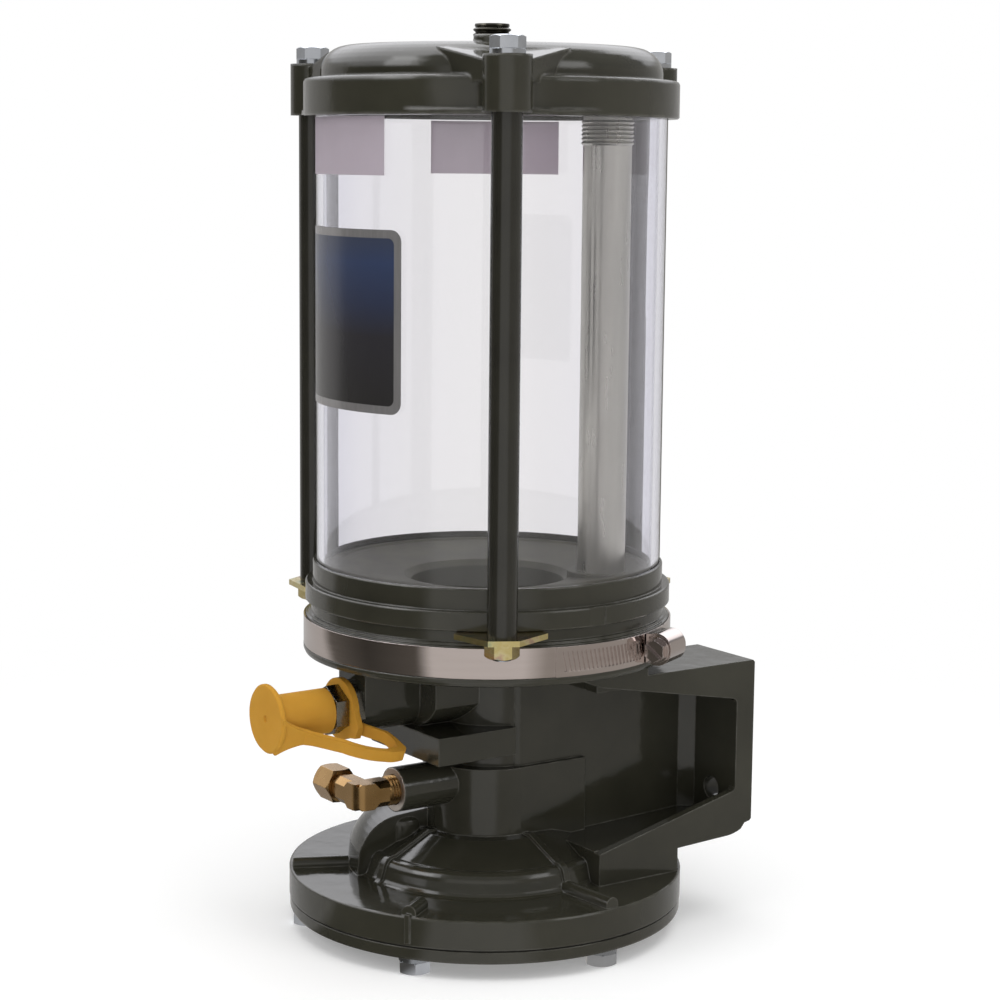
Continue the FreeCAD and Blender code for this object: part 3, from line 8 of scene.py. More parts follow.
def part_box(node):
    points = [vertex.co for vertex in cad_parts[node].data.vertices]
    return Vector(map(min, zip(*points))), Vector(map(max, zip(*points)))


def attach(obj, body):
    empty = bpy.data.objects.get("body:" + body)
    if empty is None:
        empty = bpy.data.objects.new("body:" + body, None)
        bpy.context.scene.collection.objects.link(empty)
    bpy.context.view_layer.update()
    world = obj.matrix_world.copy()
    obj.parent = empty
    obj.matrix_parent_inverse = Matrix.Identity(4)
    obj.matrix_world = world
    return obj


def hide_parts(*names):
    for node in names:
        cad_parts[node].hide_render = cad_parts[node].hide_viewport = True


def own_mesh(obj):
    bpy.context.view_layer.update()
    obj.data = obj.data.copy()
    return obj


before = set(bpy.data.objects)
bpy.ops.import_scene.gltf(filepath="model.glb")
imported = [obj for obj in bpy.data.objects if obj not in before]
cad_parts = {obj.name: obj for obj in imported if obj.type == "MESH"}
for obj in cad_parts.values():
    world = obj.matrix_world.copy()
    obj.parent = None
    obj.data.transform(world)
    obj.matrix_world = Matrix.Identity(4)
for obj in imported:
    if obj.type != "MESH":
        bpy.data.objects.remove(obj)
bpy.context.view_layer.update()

MM = 0.001

# The camera stands where the photographer's did, in millimetres and degrees
CAMERA_OUT = 1030.0
CAMERA_UP = 336.0
CAMERA_TURN = 56.0
CAMERA_PITCH = 8.38
CAMERA_YAW = 0.295
CAMERA_ROLL = 0.543
CAMERA_LENS = 84.28
SENSOR = 36.0

# Light: the world's level, the way to the studio's bright side, what gloss sees overhead of the dim side, and
# low and high on the bright side, the heights and the edge where those change over, the floor's lift to
# white, and the lamps as name, place, size and watts, with the point they aim at and the ones gloss mirrors
AMBIENT = 0.34
BRIGHT_SIDE = (-0.998, -0.05, 0.0)
FRONT_GLOW = 0.32
WALL_GLOW = 0.95
CEILING_GLOW = 4.0
WALLS_END = (0.18, 0.30)
CEILING_RISE = (0.22, 0.85)
BRIGHT_SIDE_EDGE = (0.02, 0.10)
FLOOR_LIFT = 0.25
LAMPS = (
    ("soft_box_left", (-0.2, -1.7, 1.3), 0.9, 6.5),
    ("soft_box_front", (1.6, -1.1, 0.45), 1.0, 7.0),
    ("soft_box_right", (1.6, 0.6, 1.1), 0.8, 5.0),
    ("soft_box_above", (0.1, 0.1, 1.7), 2.0, 26.0),
)
LAMP_TARGET = (0.0, 0.0, 0.19)
MIRRORED_LAMPS = ("soft_box_left", "soft_box_right")

# Sizes of the floor, and those that the dressing shares with the solids, in millimetres and degrees
FLOOR_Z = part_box("base_bolts")[0][2] / MM
FLOOR_HALF = 9000.0
FLOOR_NEAR = 120.0
FLOOR_FAR = 600.0
PATTERN_FAR = 700.0
PATTERN_WIDEN = 1.65
TUBE_R = 76.2
PLATE_TURN = -92.5
PLATE_HALF_ANGLE = 30.0
PLATE_BOTTOM = 229.0
PLATE_TOP = 305.2
PLATE_BORDER = 3.4
PLATE_FIELD_CORNER = 3.0
RESIDUE_R = TUBE_R - 3.2
OUTLET_X = 5.0
OUTLET_Z = 60.5
OUTLET_FACE = -52.0
PIPE_X = 31.0
PIPE_Y = 40.0
PIPE_R = 10.65

# Small forms that only the dressing has
CAST_EDGE_R = 0.9
COVER_EDGE_R = 1.8
SHARP_ANGLE = 28.0
BARE_RING_IN = 6.8
BARE_RING_OUT = 9.6
BARE_RING_PROUD = 0.15
BARE_RING_SUNK = 0.5
BARE_RING_CHAMFER = 0.2
PIPE_THREAD_LOW = 340.5
PIPE_THREAD_TURNS = 6
PIPE_THREAD_PITCH = 1.8
PIPE_THREAD_PROUD = 0.7
PIPE_THREAD_CLEARANCE = 0.08
PIPE_THREAD_SUNK = 0.5


def linear(code):
    """An sRGB hex colour as linear red, green, blue, alpha."""
    values = [int(code[i:i + 2], 16) / 255 for i in (1, 3, 5)]
    return [v / 12.92 if v <= 0.04045 else ((v + 0.055) / 1.055) ** 2.4 for v in values] + [1.0]


def per_mm(size):
    """Texture scale whose features are about this many millimetres across."""
    return 1.0 / (size * MM)


def add(tree, kind, inputs=None, stops=(), **settings):
    """Adds one node, with its settings, its input values, its links and any colour stops."""
    made = tree.nodes.new(kind)
    for name, value in settings.items():
        setattr(made, name, value)
    for name, value in (inputs or {}).items():
        if isinstance(value, bpy.types.NodeSocket):
            tree.links.new(value, made.inputs[name])
        else:
            made.inputs[name].default_value = value
    while stops and len(made.color_ramp.elements) < len(stops):
        made.color_ramp.elements.new(0.5)
    for i, (at, code) in enumerate(stops):
        made.color_ramp.elements[i].position = at
        made.color_ramp.elements[i].color = linear(code)
    return made


def start_material(name):
    """An empty material, its object coordinates, and a function that closes it with its surface."""
    material = bpy.data.materials.new(name)
    material.use_nodes = True
    tree = material.node_tree
    tree.nodes.clear()
    place = add(tree, "ShaderNodeTexCoord").outputs["Object"]

    def close(surface):
        add(tree, "ShaderNodeOutputMaterial", {"Surface": surface.outputs[0]})
        return material

    return tree, place, close


def mottled(tree, place, size, *codes, stretch=(1.0, 1.0, 1.0)):
    """Colour that drifts through these tones in patches about this many millimetres across."""
    pulled = add(tree, "ShaderNodeMapping", {"Vector": place, "Scale": stretch}).outputs["Vector"]
    cloud = add(tree, "ShaderNodeTexNoise", {"Vector": pulled, "Scale": per_mm(size), "Detail": 3.0})
    cloud = cloud.outputs["Fac"]
    stops = [(0.3 + 0.4 * i / (len(codes) - 1), code) for i, code in enumerate(codes)]
    return add(tree, "ShaderNodeValToRGB", {"Fac": cloud}, stops).outputs["Color"]


def skin(tree, place, size, depth, low, high, stretch=(1.0, 1.0, 1.0), under=None):
    """Relief of this size and depth in millimetres: its roughness, from low to high, and its normal."""
    pulled = add(tree, "ShaderNodeMapping", {"Vector": place, "Scale": stretch}).outputs["Vector"]
    height = add(tree, "ShaderNodeTexNoise", {"Vector": pulled, "Scale": per_mm(size), "Detail": 2.0})
    height = height.outputs["Fac"]
    rough = add(tree, "ShaderNodeMapRange", {"Value": height, "From Min": 0.3, "From Max": 0.7,
                                             "To Min": low, "To Max": high}).outputs["Result"]
    inputs = {"Height": height, "Distance": depth * MM}
    if under is not None:
        inputs["Normal"] = under
    return rough, add(tree, "ShaderNodeBump", inputs).outputs["Normal"]


def gloss_enamel_on_casting(edge=CAST_EDGE_R, dull_inside=0.0):
    """Sprayed gloss black enamel over a sand casting: olive black, wet highlights, soft edges, faint lumps.

    Along the edges a lighter band is mostly a painted highlight and partly wear.
    Inside the dull radius, in millimetres, old grease and dust take the gloss off.
    """
    tree, place, close = start_material("gloss_black_enamel_sprayed")
    rounded = add(tree, "ShaderNodeBevel", {"Radius": edge * MM}, samples=4).outputs["Normal"]
    lumps = skin(tree, place, 11.0, 0.16, 0.0, 1.0, under=rounded)[1]
    rough, normal = skin(tree, place, 1.7, 0.012, 0.08, 0.14, under=lumps)
    colour = mottled(tree, place, 32.0, "#2e2d25", "#36352c")
    flat = add(tree, "ShaderNodeNewGeometry").outputs["Normal"]
    bend = add(tree, "ShaderNodeVectorMath", {0: rounded, 1: flat}, operation="DOT_PRODUCT").outputs["Value"]
    # Painted highlight, partly wear: where the rounded normal bends away from the flat one, the colour is
    # lifted towards pale grey
    line = add(tree, "ShaderNodeMapRange", {"Value": bend, "From Min": 0.985, "From Max": 0.88, "To Max": 0.55})
    edge_highlight_and_wear = mottled(tree, place, 7.0, "#3b3a32", "#84827a")
    colour = add(tree, "ShaderNodeMix", {"Factor": line.outputs["Result"], 6: colour, 7: edge_highlight_and_wear},
                 data_type="RGBA").outputs[2]
    if dull_inside:
        out = add(tree, "ShaderNodeVectorMath", {0: place, 1: (1.0, 1.0, 0.0)}, operation="MULTIPLY").outputs[0]
        out = add(tree, "ShaderNodeVectorMath", {0: out}, operation="LENGTH").outputs["Value"]
        inside = add(tree, "ShaderNodeMapRange", {"Value": out, "From Min": dull_inside * MM,
                                                  "From Max": (dull_inside - 0.5) * MM}).outputs["Result"]
        residue = mottled(tree, place, 12.0, "#35342a", "#464537", stretch=(1.0, 1.0, 0.3))
        colour = add(tree, "ShaderNodeMix", {"Factor": inside, 6: colour, 7: residue},
                     data_type="RGBA").outputs[2]
        rough = add(tree, "ShaderNodeMix", {"Factor": inside, "A": rough, "B": 0.55}).outputs["Result"]
    return close(add(tree, "ShaderNodeBsdfPrincipled", {
        "Base Color": colour, "Roughness": rough, "IOR": 1.52, "Normal": normal,
    }))


def gloss_enamel_on_tube():
    """The same enamel on drawn steel tube: smooth, with long even highlights."""
    tree, place, close = start_material("gloss_black_enamel_on_tube")
    rough, normal = skin(tree, place, 1.4, 0.008, 0.09, 0.15)
    return close(add(tree, "ShaderNodeBsdfPrincipled", {
        "Base Color": mottled(tree, place, 22.0, "#24231e", "#2b2a24"), "Roughness": rough, "IOR": 1.52,
        "Normal": normal,
    }))


def worked_metal(name, dark, light, low, high, size=1.6, depth=0.008, stretch=(1.0, 1.0, 1.0)):
    """Metal that shows its rolling, turning or plating as fine relief, drawn out along the work."""
    tree, place, close = start_material(name)
    rounded = add(tree, "ShaderNodeBevel", {"Radius": 0.35 * MM}, samples=3).outputs["Normal"]
    rough, normal = skin(tree, place, size, depth, low, high, stretch, rounded)
    return close(add(tree, "ShaderNodeBsdfPrincipled", {
        "Base Color": mottled(tree, place, 16.0, dark, light, stretch=stretch), "Metallic": 1.0,
        "Roughness": rough, "Normal": normal,
    }))


def yellow_chromate():
    """Zinc plate with yellow chromate: olive straw, with green and pink where the film's thickness changes."""
    tree, place, close = start_material("yellow_chromate_on_zinc")
    rough, normal = skin(tree, place, 2.5, 0.006, 0.16, 0.26)
    film = mottled(tree, place, 9.0, "#97a78c", "#c9c08c", "#c8b87e", "#d3c697", "#c3a58c", "#9aa896")
    return close(add(tree, "ShaderNodeBsdfPrincipled", {
        "Base Color": film, "Metallic": 1.0, "Roughness": rough, "Normal": normal,
    }))


def clear_acrylic():
    """Extruded clear acrylic: water-clear face on, darker and bluer at its edges, with faint drawing lines."""
    tree, place, close = start_material("clear_acrylic_extruded")
    normal = skin(tree, place, 5.0, 0.010, 0.0, 1.0, (1.0, 1.0, 0.03))[1]
    facing = add(tree, "ShaderNodeLayerWeight", {"Blend": 0.5}).outputs["Facing"]
    tint = add(tree, "ShaderNodeValToRGB", {"Fac": facing}, [
        (0.0, "#f4f3f4"), (0.35, "#f1f0f4"), (0.65, "#e5e5ee"), (0.88, "#cfcfdd"), (1.0, "#7c7c8a"),
    ]).outputs["Color"]
    glass = add(tree, "ShaderNodeBsdfPrincipled", {
        "Base Color": tint, "Roughness": 0.0, "IOR": 1.49, "Transmission Weight": 1.0, "Normal": normal,
    })
    open_way = add(tree, "ShaderNodeBsdfTransparent", {"Color": linear("#f8f7f8")})
    path = add(tree, "ShaderNodeLightPath").outputs
    lamps = add(tree, "ShaderNodeMath", {0: path["Is Shadow Ray"], 1: path["Is Diffuse Ray"]},
                operation="MAXIMUM").outputs[0]
    return close(add(tree, "ShaderNodeMixShader", {0: lamps, 1: glass.outputs[0], 2: open_way.outputs[0]}))


def frosted_film():
    """Printed polyester film: even lilac grey with a fine satin tooth."""
    tree, place, close = start_material("satin_label_film_printed")
    rough, normal = skin(tree, place, 0.5, 0.002, 0.38, 0.5)
    tone = mottled(tree, place, 18.0, "#dcd4db", "#e1d9e0")
    face = add(tree, "ShaderNodeBsdfPrincipled", {"Base Color": tone, "Roughness": rough, "IOR": 1.5,
                                                  "Normal": normal})
    through = add(tree, "ShaderNodeBsdfTranslucent", {"Color": tone})
    return close(add(tree, "ShaderNodeMixShader", {0: 0.6, 1: face.outputs[0], 2: through.outputs[0]}))


def name_plate_film():
    """Foil label: brushed grey border, and a glossy plain field that fades from navy at the top to charcoal."""
    tree, place, close = start_material("foil_label_printed")
    square_on = (0.0, 0.0, math.radians(-PLATE_TURN))
    turned = add(tree, "ShaderNodeMapping", {"Vector": place, "Rotation": square_on})
    axes = add(tree, "ShaderNodeSeparateXYZ", {"Vector": turned.outputs["Vector"]}).outputs
    angle = add(tree, "ShaderNodeMath", {0: axes["Y"], 1: axes["X"]}, operation="ARCTAN2").outputs[0]
    around = add(tree, "ShaderNodeMath", {0: angle, 1: TUBE_R * MM}, operation="MULTIPLY").outputs[0]
    flat = add(tree, "ShaderNodeCombineXYZ", {"X": around, "Y": axes["Z"]})
    middle = (0.0, 0.5 * (PLATE_BOTTOM + PLATE_TOP) * MM, 0.0)
    inset = PLATE_BORDER + PLATE_FIELD_CORNER
    half_width = math.radians(PLATE_HALF_ANGLE) * TUBE_R - inset
    half_height = 0.5 * (PLATE_TOP - PLATE_BOTTOM) - inset
    half = (half_width * MM, half_height * MM, 1.0)
    away = add(tree, "ShaderNodeVectorMath", {0: flat.outputs[0], 1: middle}, operation="SUBTRACT").outputs[0]
    away = add(tree, "ShaderNodeVectorMath", {0: away}, operation="ABSOLUTE").outputs[0]
    away = add(tree, "ShaderNodeVectorMath", {0: away, 1: half}, operation="SUBTRACT").outputs[0]
    away = add(tree, "ShaderNodeVectorMath", {0: away, 1: (0.0, 0.0, 0.0)}, operation="MAXIMUM").outputs[0]
    away = add(tree, "ShaderNodeVectorMath", {0: away}, operation="LENGTH").outputs["Value"]
    border = add(tree, "ShaderNodeMapRange", {"Value": away, "From Min": (PLATE_FIELD_CORNER - 0.15) * MM,
                                              "From Max": (PLATE_FIELD_CORNER + 0.15) * MM}).outputs["Result"]
    up = add(tree, "ShaderNodeMapRange", {"Value": axes["Z"], "From Min": PLATE_BOTTOM * MM,
                                          "From Max": PLATE_TOP * MM}).outputs["Result"]
    field = add(tree, "ShaderNodeValToRGB", {"Fac": up}, [
        (0.0, "#2b2a29"), (0.42, "#2e2d31"), (0.60, "#2f3549"), (0.82, "#333e5a"), (1.0, "#3a3f4d"),
    ]).outputs["Color"]
    brushed = mottled(tree, place, 1.2, "#8d8b8b", "#979595", stretch=(1.0, 1.0, 0.06))
    colour = add(tree, "ShaderNodeMix", {"Factor": border, 6: field, 7: brushed}, data_type="RGBA").outputs[2]
    tooth = skin(tree, place, 0.8, 0.003, 0.16, 0.26, (1.0, 1.0, 0.06))
    metallic = add(tree, "ShaderNodeMath", {0: border, 1: 0.5}, operation="MULTIPLY").outputs[0]
    return close(add(tree, "ShaderNodeBsdfPrincipled", {
        "Base Color": colour, "Metallic": metallic, "Roughness": tooth[0], "IOR": 1.5, "Normal": tooth[1],
    }))


def moulded_yellow():
    """Injection-moulded yellow polyethylene: soft sheen, slightly see-through at thin edges."""
    tree, place, close = start_material("yellow_polyethylene_moulded")
    rounded = add(tree, "ShaderNodeBevel", {"Radius": 0.5 * MM}, samples=3).outputs["Normal"]
    rough, normal = skin(tree, place, 1.6, 0.012, 0.55, 0.65, under=rounded)
    return close(add(tree, "ShaderNodeBsdfPrincipled", {
        "Base Color": mottled(tree, place, 16.0, "#c48f35", "#cc973c"), "Roughness": rough, "IOR": 1.3,
        "Specular IOR Level": 0.12, "Subsurface Weight": 0.12,
        "Subsurface Radius": (0.003, 0.0015, 0.0006), "Normal": normal,
    }))


def nitrile_rubber():
    """Moulded nitrile rubber: dull black."""
    tree, place, close = start_material("nitrile_rubber_moulded")
    rough, normal = skin(tree, place, 4.0, 0.02, 0.6, 0.75)
    return close(add(tree, "ShaderNodeBsdfPrincipled", {
        "Base Color": mottled(tree, place, 6.0, "#141414", "#1d1c1b"), "Roughness": rough, "IOR": 1.5,
        "Normal": normal,
    }))


def pressed_fibre():
    """Oiled gasket fibre: dark and dull, with a fibrous edge."""
    tree, place, close = start_material("gasket_fibre_pressed")
    rough, normal = skin(tree, place, 1.5, 0.05, 0.7, 0.85, (1.0, 1.0, 4.0))
    return close(add(tree, "ShaderNodeBsdfPrincipled", {
        "Base Color": mottled(tree, place, 3.0, "#171612", "#26241e"), "Roughness": rough, "IOR": 1.5,
        "Normal": normal,
    }))


def dress_solids():
    """Gives every solid from model.glb its finish."""
    along_ring = (0.15, 0.15, 2.0)
    enamel = gloss_enamel_on_casting()
    zinc = worked_metal("clear_zinc_plate_on_steel", "#b2b6bc", "#c6cad0", 0.10, 0.18)
    dull_zinc = worked_metal("zinc_plate_dulled_on_steel", "#7b7870", "#908d84", 0.20, 0.32)
    lock_steel = worked_metal("zinc_plate_on_spring_steel", "#8f9398", "#a6aab0", 0.22, 0.34)
    steel = worked_metal("machined_steel_turned", "#a8a9a8", "#c6c7c6", 0.22, 0.34, stretch=(1.0, 1.0, 6.0))
    stainless = worked_metal("stainless_strip_rolled", "#bdb2ad", "#c8beb9", 0.06, 0.11, 2.4, 0.003, along_ring)
    brass = worked_metal("brass_forged_and_turned", "#8f7147", "#a6865a", 0.22, 0.32, 4.0, 0.004)
    pipe = worked_metal("galvanised_pipe_dipped", "#a6a59f", "#c0bdb5", 0.26, 0.40, 3.0, 0.02, (1.0, 1.0, 0.12))
    bare_iron = worked_metal("cast_iron_machined_bare", "#d3c9c0", "#e2d9d0", 0.42, 0.55, 2.0, 0.01)
    oiled = worked_metal("black_oxide_steel_oiled", "#3f3d37", "#514f47", 0.24, 0.36, 3.0, 0.02)
    rubber = nitrile_rubber()
    fibre = pressed_fibre()
    chromate = yellow_chromate()
    finishes = {
        "pump_housing": enamel, "base_cover": enamel,
        "reservoir_base": gloss_enamel_on_casting(dull_inside=RESIDUE_R),
        "top_cover": gloss_enamel_on_casting(edge=COVER_EDGE_R),
        "base_gasket": fibre, "rim_gasket": fibre,
        "base_bolts": zinc, "base_lock_washers": lock_steel, "tie_bolts": zinc, "tie_bolt_washers": zinc,
        "fill_coupler": dull_zinc, "air_piston": steel, "plunger": steel, "plunger_cylinder": steel,
        "return_spring": steel, "check_ball": steel, "check_spring": steel, "coupler_poppet": steel,
        "coupler_spring": steel, "piston_seal": rubber, "plunger_seal": rubber, "lower_tube_seal": rubber,
        "upper_tube_seal": rubber, "reservoir_tube": clear_acrylic(), "vent_pipe": pipe, "vent_plug": oiled,
        "tie_rod_sleeves": gloss_enamel_on_tube(), "lug_plates": chromate, "tie_rod_nuts": chromate,
        "clamp_band": stainless, "clamp_housing": stainless, "clamp_screw": stainless,
        "dust_cap": moulded_yellow(), "outlet_elbow": brass, "elbow_nut": brass, "elbow_ferrule": brass,
        "level_labels": frosted_film(), "name_label": name_plate_film(),
    }
    for name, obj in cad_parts.items():
        obj.data.materials.clear()
        obj.data.materials.append(finishes[name])
    return bare_iron, steel, pipe


def pump_piece(name, work, material):
    """Makes a finished mesh into a smooth piece that rides on the pump."""
    mesh = bpy.data.meshes.new(name)
    work.to_mesh(mesh)
    work.free()
    mesh.shade_smooth()
    mesh.materials.append(material)
    piece = bpy.data.objects.new(name, mesh)
    bpy.context.scene.collection.objects.link(piece)
    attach(piece, "pump")
    return piece


def turned_piece(name, outline, centre, axis, material):
    """A closed outline of (radius, height) points spun round an axis into one piece of the pump."""
    work = bmesh.new()
    side = axis.orthogonal().normalized()
    points = [work.verts.new((Vector(centre) + side * radius + axis * height) * MM)
              for radius, height in outline]
    for first, second in zip(points, points[1:] + points[:1]):
        work.edges.new((first, second))
    bmesh.ops.spin(work, geom=work.verts[:] + work.edges[:], cent=Vector(centre) * MM, axis=axis,
                   angle=math.tau, steps=72, use_merge=True, use_duplicate=False)
    bmesh.ops.remove_doubles(work, verts=work.verts[:], dist=1e-6)
    bmesh.ops.recalc_face_normals(work, faces=work.faces[:])
    piece = pump_piece(name, work, material)
    piece.data.set_sharp_from_angle(angle=math.radians(SHARP_ANGLE))


def return_spring_wire(material):
    """The return spring, one smooth piece in the solid's place; the real one shortens to its upper seat as the
    piston rises.
    """
    work = bmesh.new()
    work.from_mesh(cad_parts["return_spring"].data)
    bmesh.ops.remove_doubles(work, verts=work.verts[:], dist=1e-6)
    piece = pump_piece("return_spring_wire", work, material)
    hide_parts("return_spring")
    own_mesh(piece)


def outlet_bare_ring(material):
    """The outlet boss's face, machined bare inside the paint."""
    outline = [(BARE_RING_IN, -BARE_RING_SUNK), (BARE_RING_IN, BARE_RING_PROUD),
               (BARE_RING_OUT - BARE_RING_CHAMFER, BARE_RING_PROUD),
               (BARE_RING_OUT, BARE_RING_PROUD - BARE_RING_CHAMFER), (BARE_RING_OUT, -BARE_RING_SUNK)]
    turned_piece("outlet_bare_ring", outline, (OUTLET_X, OUTLET_FACE, OUTLET_Z), Vector((0, -1, 0)), material)


def vent_pipe_thread(material):
    """The thread at the vent pipe's upper end, drawn as rings."""
    root = PIPE_R + PIPE_THREAD_CLEARANCE
    inside = PIPE_R - PIPE_THREAD_SUNK
    outline = [(inside, 0.0), (root, 0.0)]
    for turn in range(PIPE_THREAD_TURNS):
        low = turn * PIPE_THREAD_PITCH
        outline.append((root + PIPE_THREAD_PROUD, low + 0.42 * PIPE_THREAD_PITCH))
        outline.append((root + PIPE_THREAD_PROUD, low + 0.58 * PIPE_THREAD_PITCH))
        outline.append((root, low + PIPE_THREAD_PITCH))
    outline.append((inside, PIPE_THREAD_TURNS * PIPE_THREAD_PITCH))
    turned_piece("vent_pipe_thread", outline, (PIPE_X, PIPE_Y, PIPE_THREAD_LOW), Vector((0, 0, 1)), material)


def aim_camera():
    """The photograph's viewpoint, pitch, roll and lens."""
    data = bpy.data.cameras.new("photo_camera")
    data.lens = CAMERA_LENS
    data.sensor_width = SENSOR
    data.clip_start = 0.05
    data.clip_end = 50.0
    camera = bpy.data.objects.new("photo_camera", data)
    bpy.context.scene.collection.objects.link(camera)
    yaw = math.radians(CAMERA_YAW)
    pitch = math.radians(CAMERA_PITCH)
    roll = math.radians(CAMERA_ROLL)
    ahead = Vector((math.sin(yaw) * math.cos(pitch), math.cos(yaw) * math.cos(pitch), -math.sin(pitch)))
    level = Vector((math.cos(yaw), -math.sin(yaw), 0))
    up = level.cross(ahead)
    right = level * math.cos(roll) + up * math.sin(roll)
    over = up * math.cos(roll) - level * math.sin(roll)
    turn = Matrix.Rotation(math.radians(CAMERA_TURN), 3, "Z")
    axes = Matrix((turn @ right, turn @ over, turn @ -ahead)).transposed()
    eye = turn @ Vector((0, -CAMERA_OUT * MM, CAMERA_UP * MM))
    camera.matrix_world = Matrix.Translation(eye) @ axes.to_4x4()
    bpy.context.scene.camera = camera


def mirrored_only(tree, path):
    """One for a ray that comes off a gloss or a metal, and none for one that has gone through clear plastic."""
    return add(tree, "ShaderNodeMath", {0: path["Is Glossy Ray"], 1: path["Is Transmission Ray"]},
               operation="SUBTRACT", use_clamp=True).outputs[0]


def studio_round(tree, direction, widen=1.0):
    """How bright the studio's walls look in a reflection, going round from behind the object."""
    square_on = (0.0, 0.0, math.radians(90 - CAMERA_TURN))
    turned = add(tree, "ShaderNodeMapping", {"Vector": direction, "Rotation": square_on})
    axes = add(tree, "ShaderNodeSeparateXYZ", {"Vector": turned.outputs["Vector"]}).outputs
    angle = add(tree, "ShaderNodeMath", {0: axes["Y"], 1: axes["X"]}, operation="ARCTAN2").outputs[0]
    angle = add(tree, "ShaderNodeMath", {0: angle, 1: widen}, operation="MULTIPLY").outputs[0]
    share = add(tree, "ShaderNodeMapRange", {"Value": angle, "From Min": -math.pi, "From Max": math.pi})
    return add(tree, "ShaderNodeValToRGB", {"Fac": share.outputs["Result"]}, [
        (0.0, "#bcbbba"), (0.17, "#c8c6c4"), (0.20, "#6a6762"), (0.29, "#44423e"), (0.385, "#5f5c57"),
        (0.41, "#dedcda"), (0.56, "#e2e0de"), (0.60, "#a9a5a0"), (0.80, "#b4b1ad"), (1.0, "#bcbbba"),
    ]).outputs["Color"]


def build_floor():
    """A plain white floor under the base bolts that keeps the soft shadow."""
    mesh = bpy.data.meshes.new("studio_floor")
    grid = bmesh.new()
    bmesh.ops.create_grid(grid, x_segments=1, y_segments=1, size=FLOOR_HALF * MM,
                          matrix=Matrix.Translation((0, 0, FLOOR_Z * MM)))
    grid.to_mesh(mesh)
    grid.free()
    floor = bpy.data.objects.new("studio_floor", mesh)
    bpy.context.scene.collection.objects.link(floor)
    tree, place, close = start_material("studio_floor_matt_white")
    tone = mottled(tree, place, 900.0, "#e8e8e8", "#ebebeb")
    matt = add(tree, "ShaderNodeBsdfDiffuse", {"Color": tone})
    path = add(tree, "ShaderNodeLightPath").outputs
    seen = add(tree, "ShaderNodeMath", {0: path["Is Camera Ray"], 1: path["Is Transmission Ray"]},
               operation="MAXIMUM")
    reach = add(tree, "ShaderNodeVectorMath", {0: place}, operation="LENGTH").outputs["Value"]
    far = add(tree, "ShaderNodeMapRange", {
        "Value": reach, "From Min": FLOOR_NEAR * MM, "From Max": FLOOR_FAR * MM,
    }, interpolation_type="SMOOTHSTEP").outputs["Result"]
    far = add(tree, "ShaderNodeMath", {0: far, 1: seen.outputs[0]}, operation="MULTIPLY").outputs[0]
    lift = add(tree, "ShaderNodeMath", {0: seen.outputs[0], 1: FLOOR_LIFT}, operation="MULTIPLY").outputs[0]
    lifted = add(tree, "ShaderNodeEmission", {"Strength": lift})
    near = add(tree, "ShaderNodeAddShader", {0: matt.outputs[0], 1: lifted.outputs[0]}).outputs[0]
    white = add(tree, "ShaderNodeEmission").outputs[0]
    lit = add(tree, "ShaderNodeMixShader", {0: far, 1: near, 2: white}).outputs[0]
    widen = add(tree, "ShaderNodeMapRange", {
        "Value": reach, "From Min": FLOOR_NEAR * MM, "From Max": PATTERN_FAR * MM,
        "To Min": PATTERN_WIDEN, "To Max": 1.0,
    }).outputs["Result"]
    mirrored = add(tree, "ShaderNodeEmission", {"Color": studio_round(tree, place, widen)}).outputs[0]
    surface = add(tree, "ShaderNodeMixShader", {0: mirrored_only(tree, path), 1: lit, 2: mirrored})
    mesh.materials.append(close(surface))


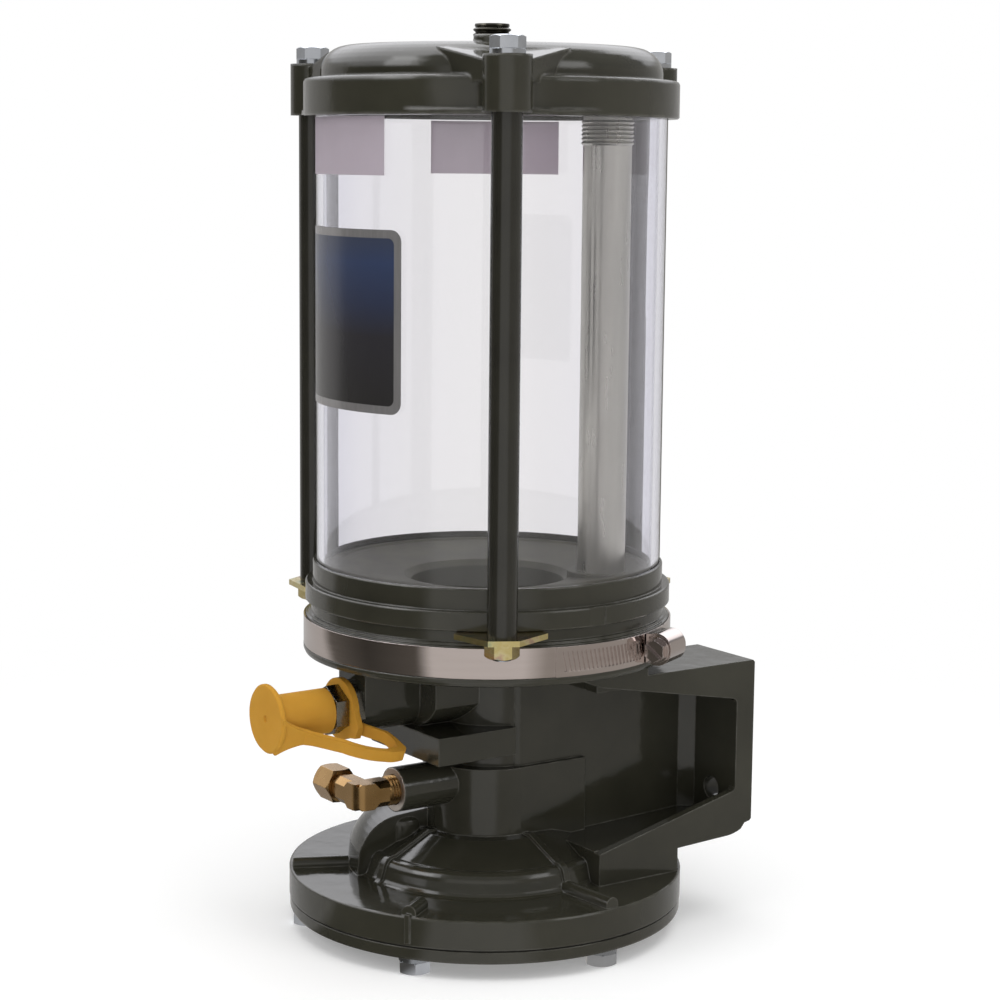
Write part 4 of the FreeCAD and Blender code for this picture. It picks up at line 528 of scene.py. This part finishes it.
def light_studio():
    """White surroundings, a wide soft box above and three smaller ones at the left, front and right."""
    world = bpy.data.worlds.new("studio")
    bpy.context.scene.world = world
    world.use_nodes = True
    tree = world.node_tree
    tree.nodes.clear()
    direction = add(tree, "ShaderNodeTexCoord").outputs["Generated"]
    path = add(tree, "ShaderNodeLightPath").outputs
    seen = add(tree, "ShaderNodeMath", {0: path["Is Camera Ray"], 1: path["Is Transmission Ray"]},
               operation="MAXIMUM")
    shade = (AMBIENT, AMBIENT, AMBIENT, 1.0)
    direct = add(tree, "ShaderNodeMix", {"Factor": seen.outputs[0], 6: shade, 7: linear("#ffffff")},
                 data_type="RGBA")
    height = add(tree, "ShaderNodeSeparateXYZ", {"Vector": direction}).outputs["Z"]
    side = add(tree, "ShaderNodeVectorMath", {0: direction, 1: BRIGHT_SIDE},
               operation="DOT_PRODUCT").outputs["Value"]
    side = add(tree, "ShaderNodeMapRange", {
        "Value": side, "From Min": BRIGHT_SIDE_EDGE[0], "From Max": BRIGHT_SIDE_EDGE[1],
    }, interpolation_type="SMOOTHSTEP").outputs["Result"]
    glow = add(tree, "ShaderNodeMapRange", {
        "Value": height, "From Min": CEILING_RISE[0], "From Max": CEILING_RISE[1], "To Min": WALL_GLOW,
        "To Max": CEILING_GLOW,
    }).outputs["Result"]
    glow = add(tree, "ShaderNodeMix", {"Factor": side, "A": FRONT_GLOW, "B": glow}).outputs["Result"]
    above = add(tree, "ShaderNodeVectorMath", {0: linear("#fbfbff")[:3], "Scale": glow},
                operation="SCALE").outputs[0]
    part = add(tree, "ShaderNodeMapRange", {
        "Value": height, "From Min": WALLS_END[0], "From Max": WALLS_END[1],
    }, interpolation_type="SMOOTHSTEP").outputs["Result"]
    walls = add(tree, "ShaderNodeMix", {"Factor": part, 6: studio_round(tree, direction), 7: above},
                data_type="RGBA")
    mirrored = mirrored_only(tree, path)
    colour = add(tree, "ShaderNodeMix", {"Factor": mirrored, 6: direct.outputs[2], 7: walls.outputs[2]},
                 data_type="RGBA").outputs[2]
    background = add(tree, "ShaderNodeBackground", {"Color": colour, "Strength": 1.0})
    add(tree, "ShaderNodeOutputWorld", {"Surface": background.outputs["Background"]})
    for name, where, size, watts in LAMPS:
        data = bpy.data.lights.new(name, "AREA")
        data.size = size
        data.energy = watts
        lamp = bpy.data.objects.new(name, data)
        lamp.location = where
        lamp.visible_glossy = name in MIRRORED_LAMPS
        lamp.visible_transmission = False
        ahead = Vector(LAMP_TARGET) - Vector(where)
        lamp.rotation_euler = ahead.to_track_quat("-Z", "Y").to_euler()
        bpy.context.scene.collection.objects.link(lamp)


BARE_IRON, STEEL, PIPE = dress_solids()
outlet_bare_ring(BARE_IRON)
return_spring_wire(STEEL)
vent_pipe_thread(PIPE)
aim_camera()
build_floor()
light_studio()
bpy.context.scene.view_settings.view_transform = "Standard"
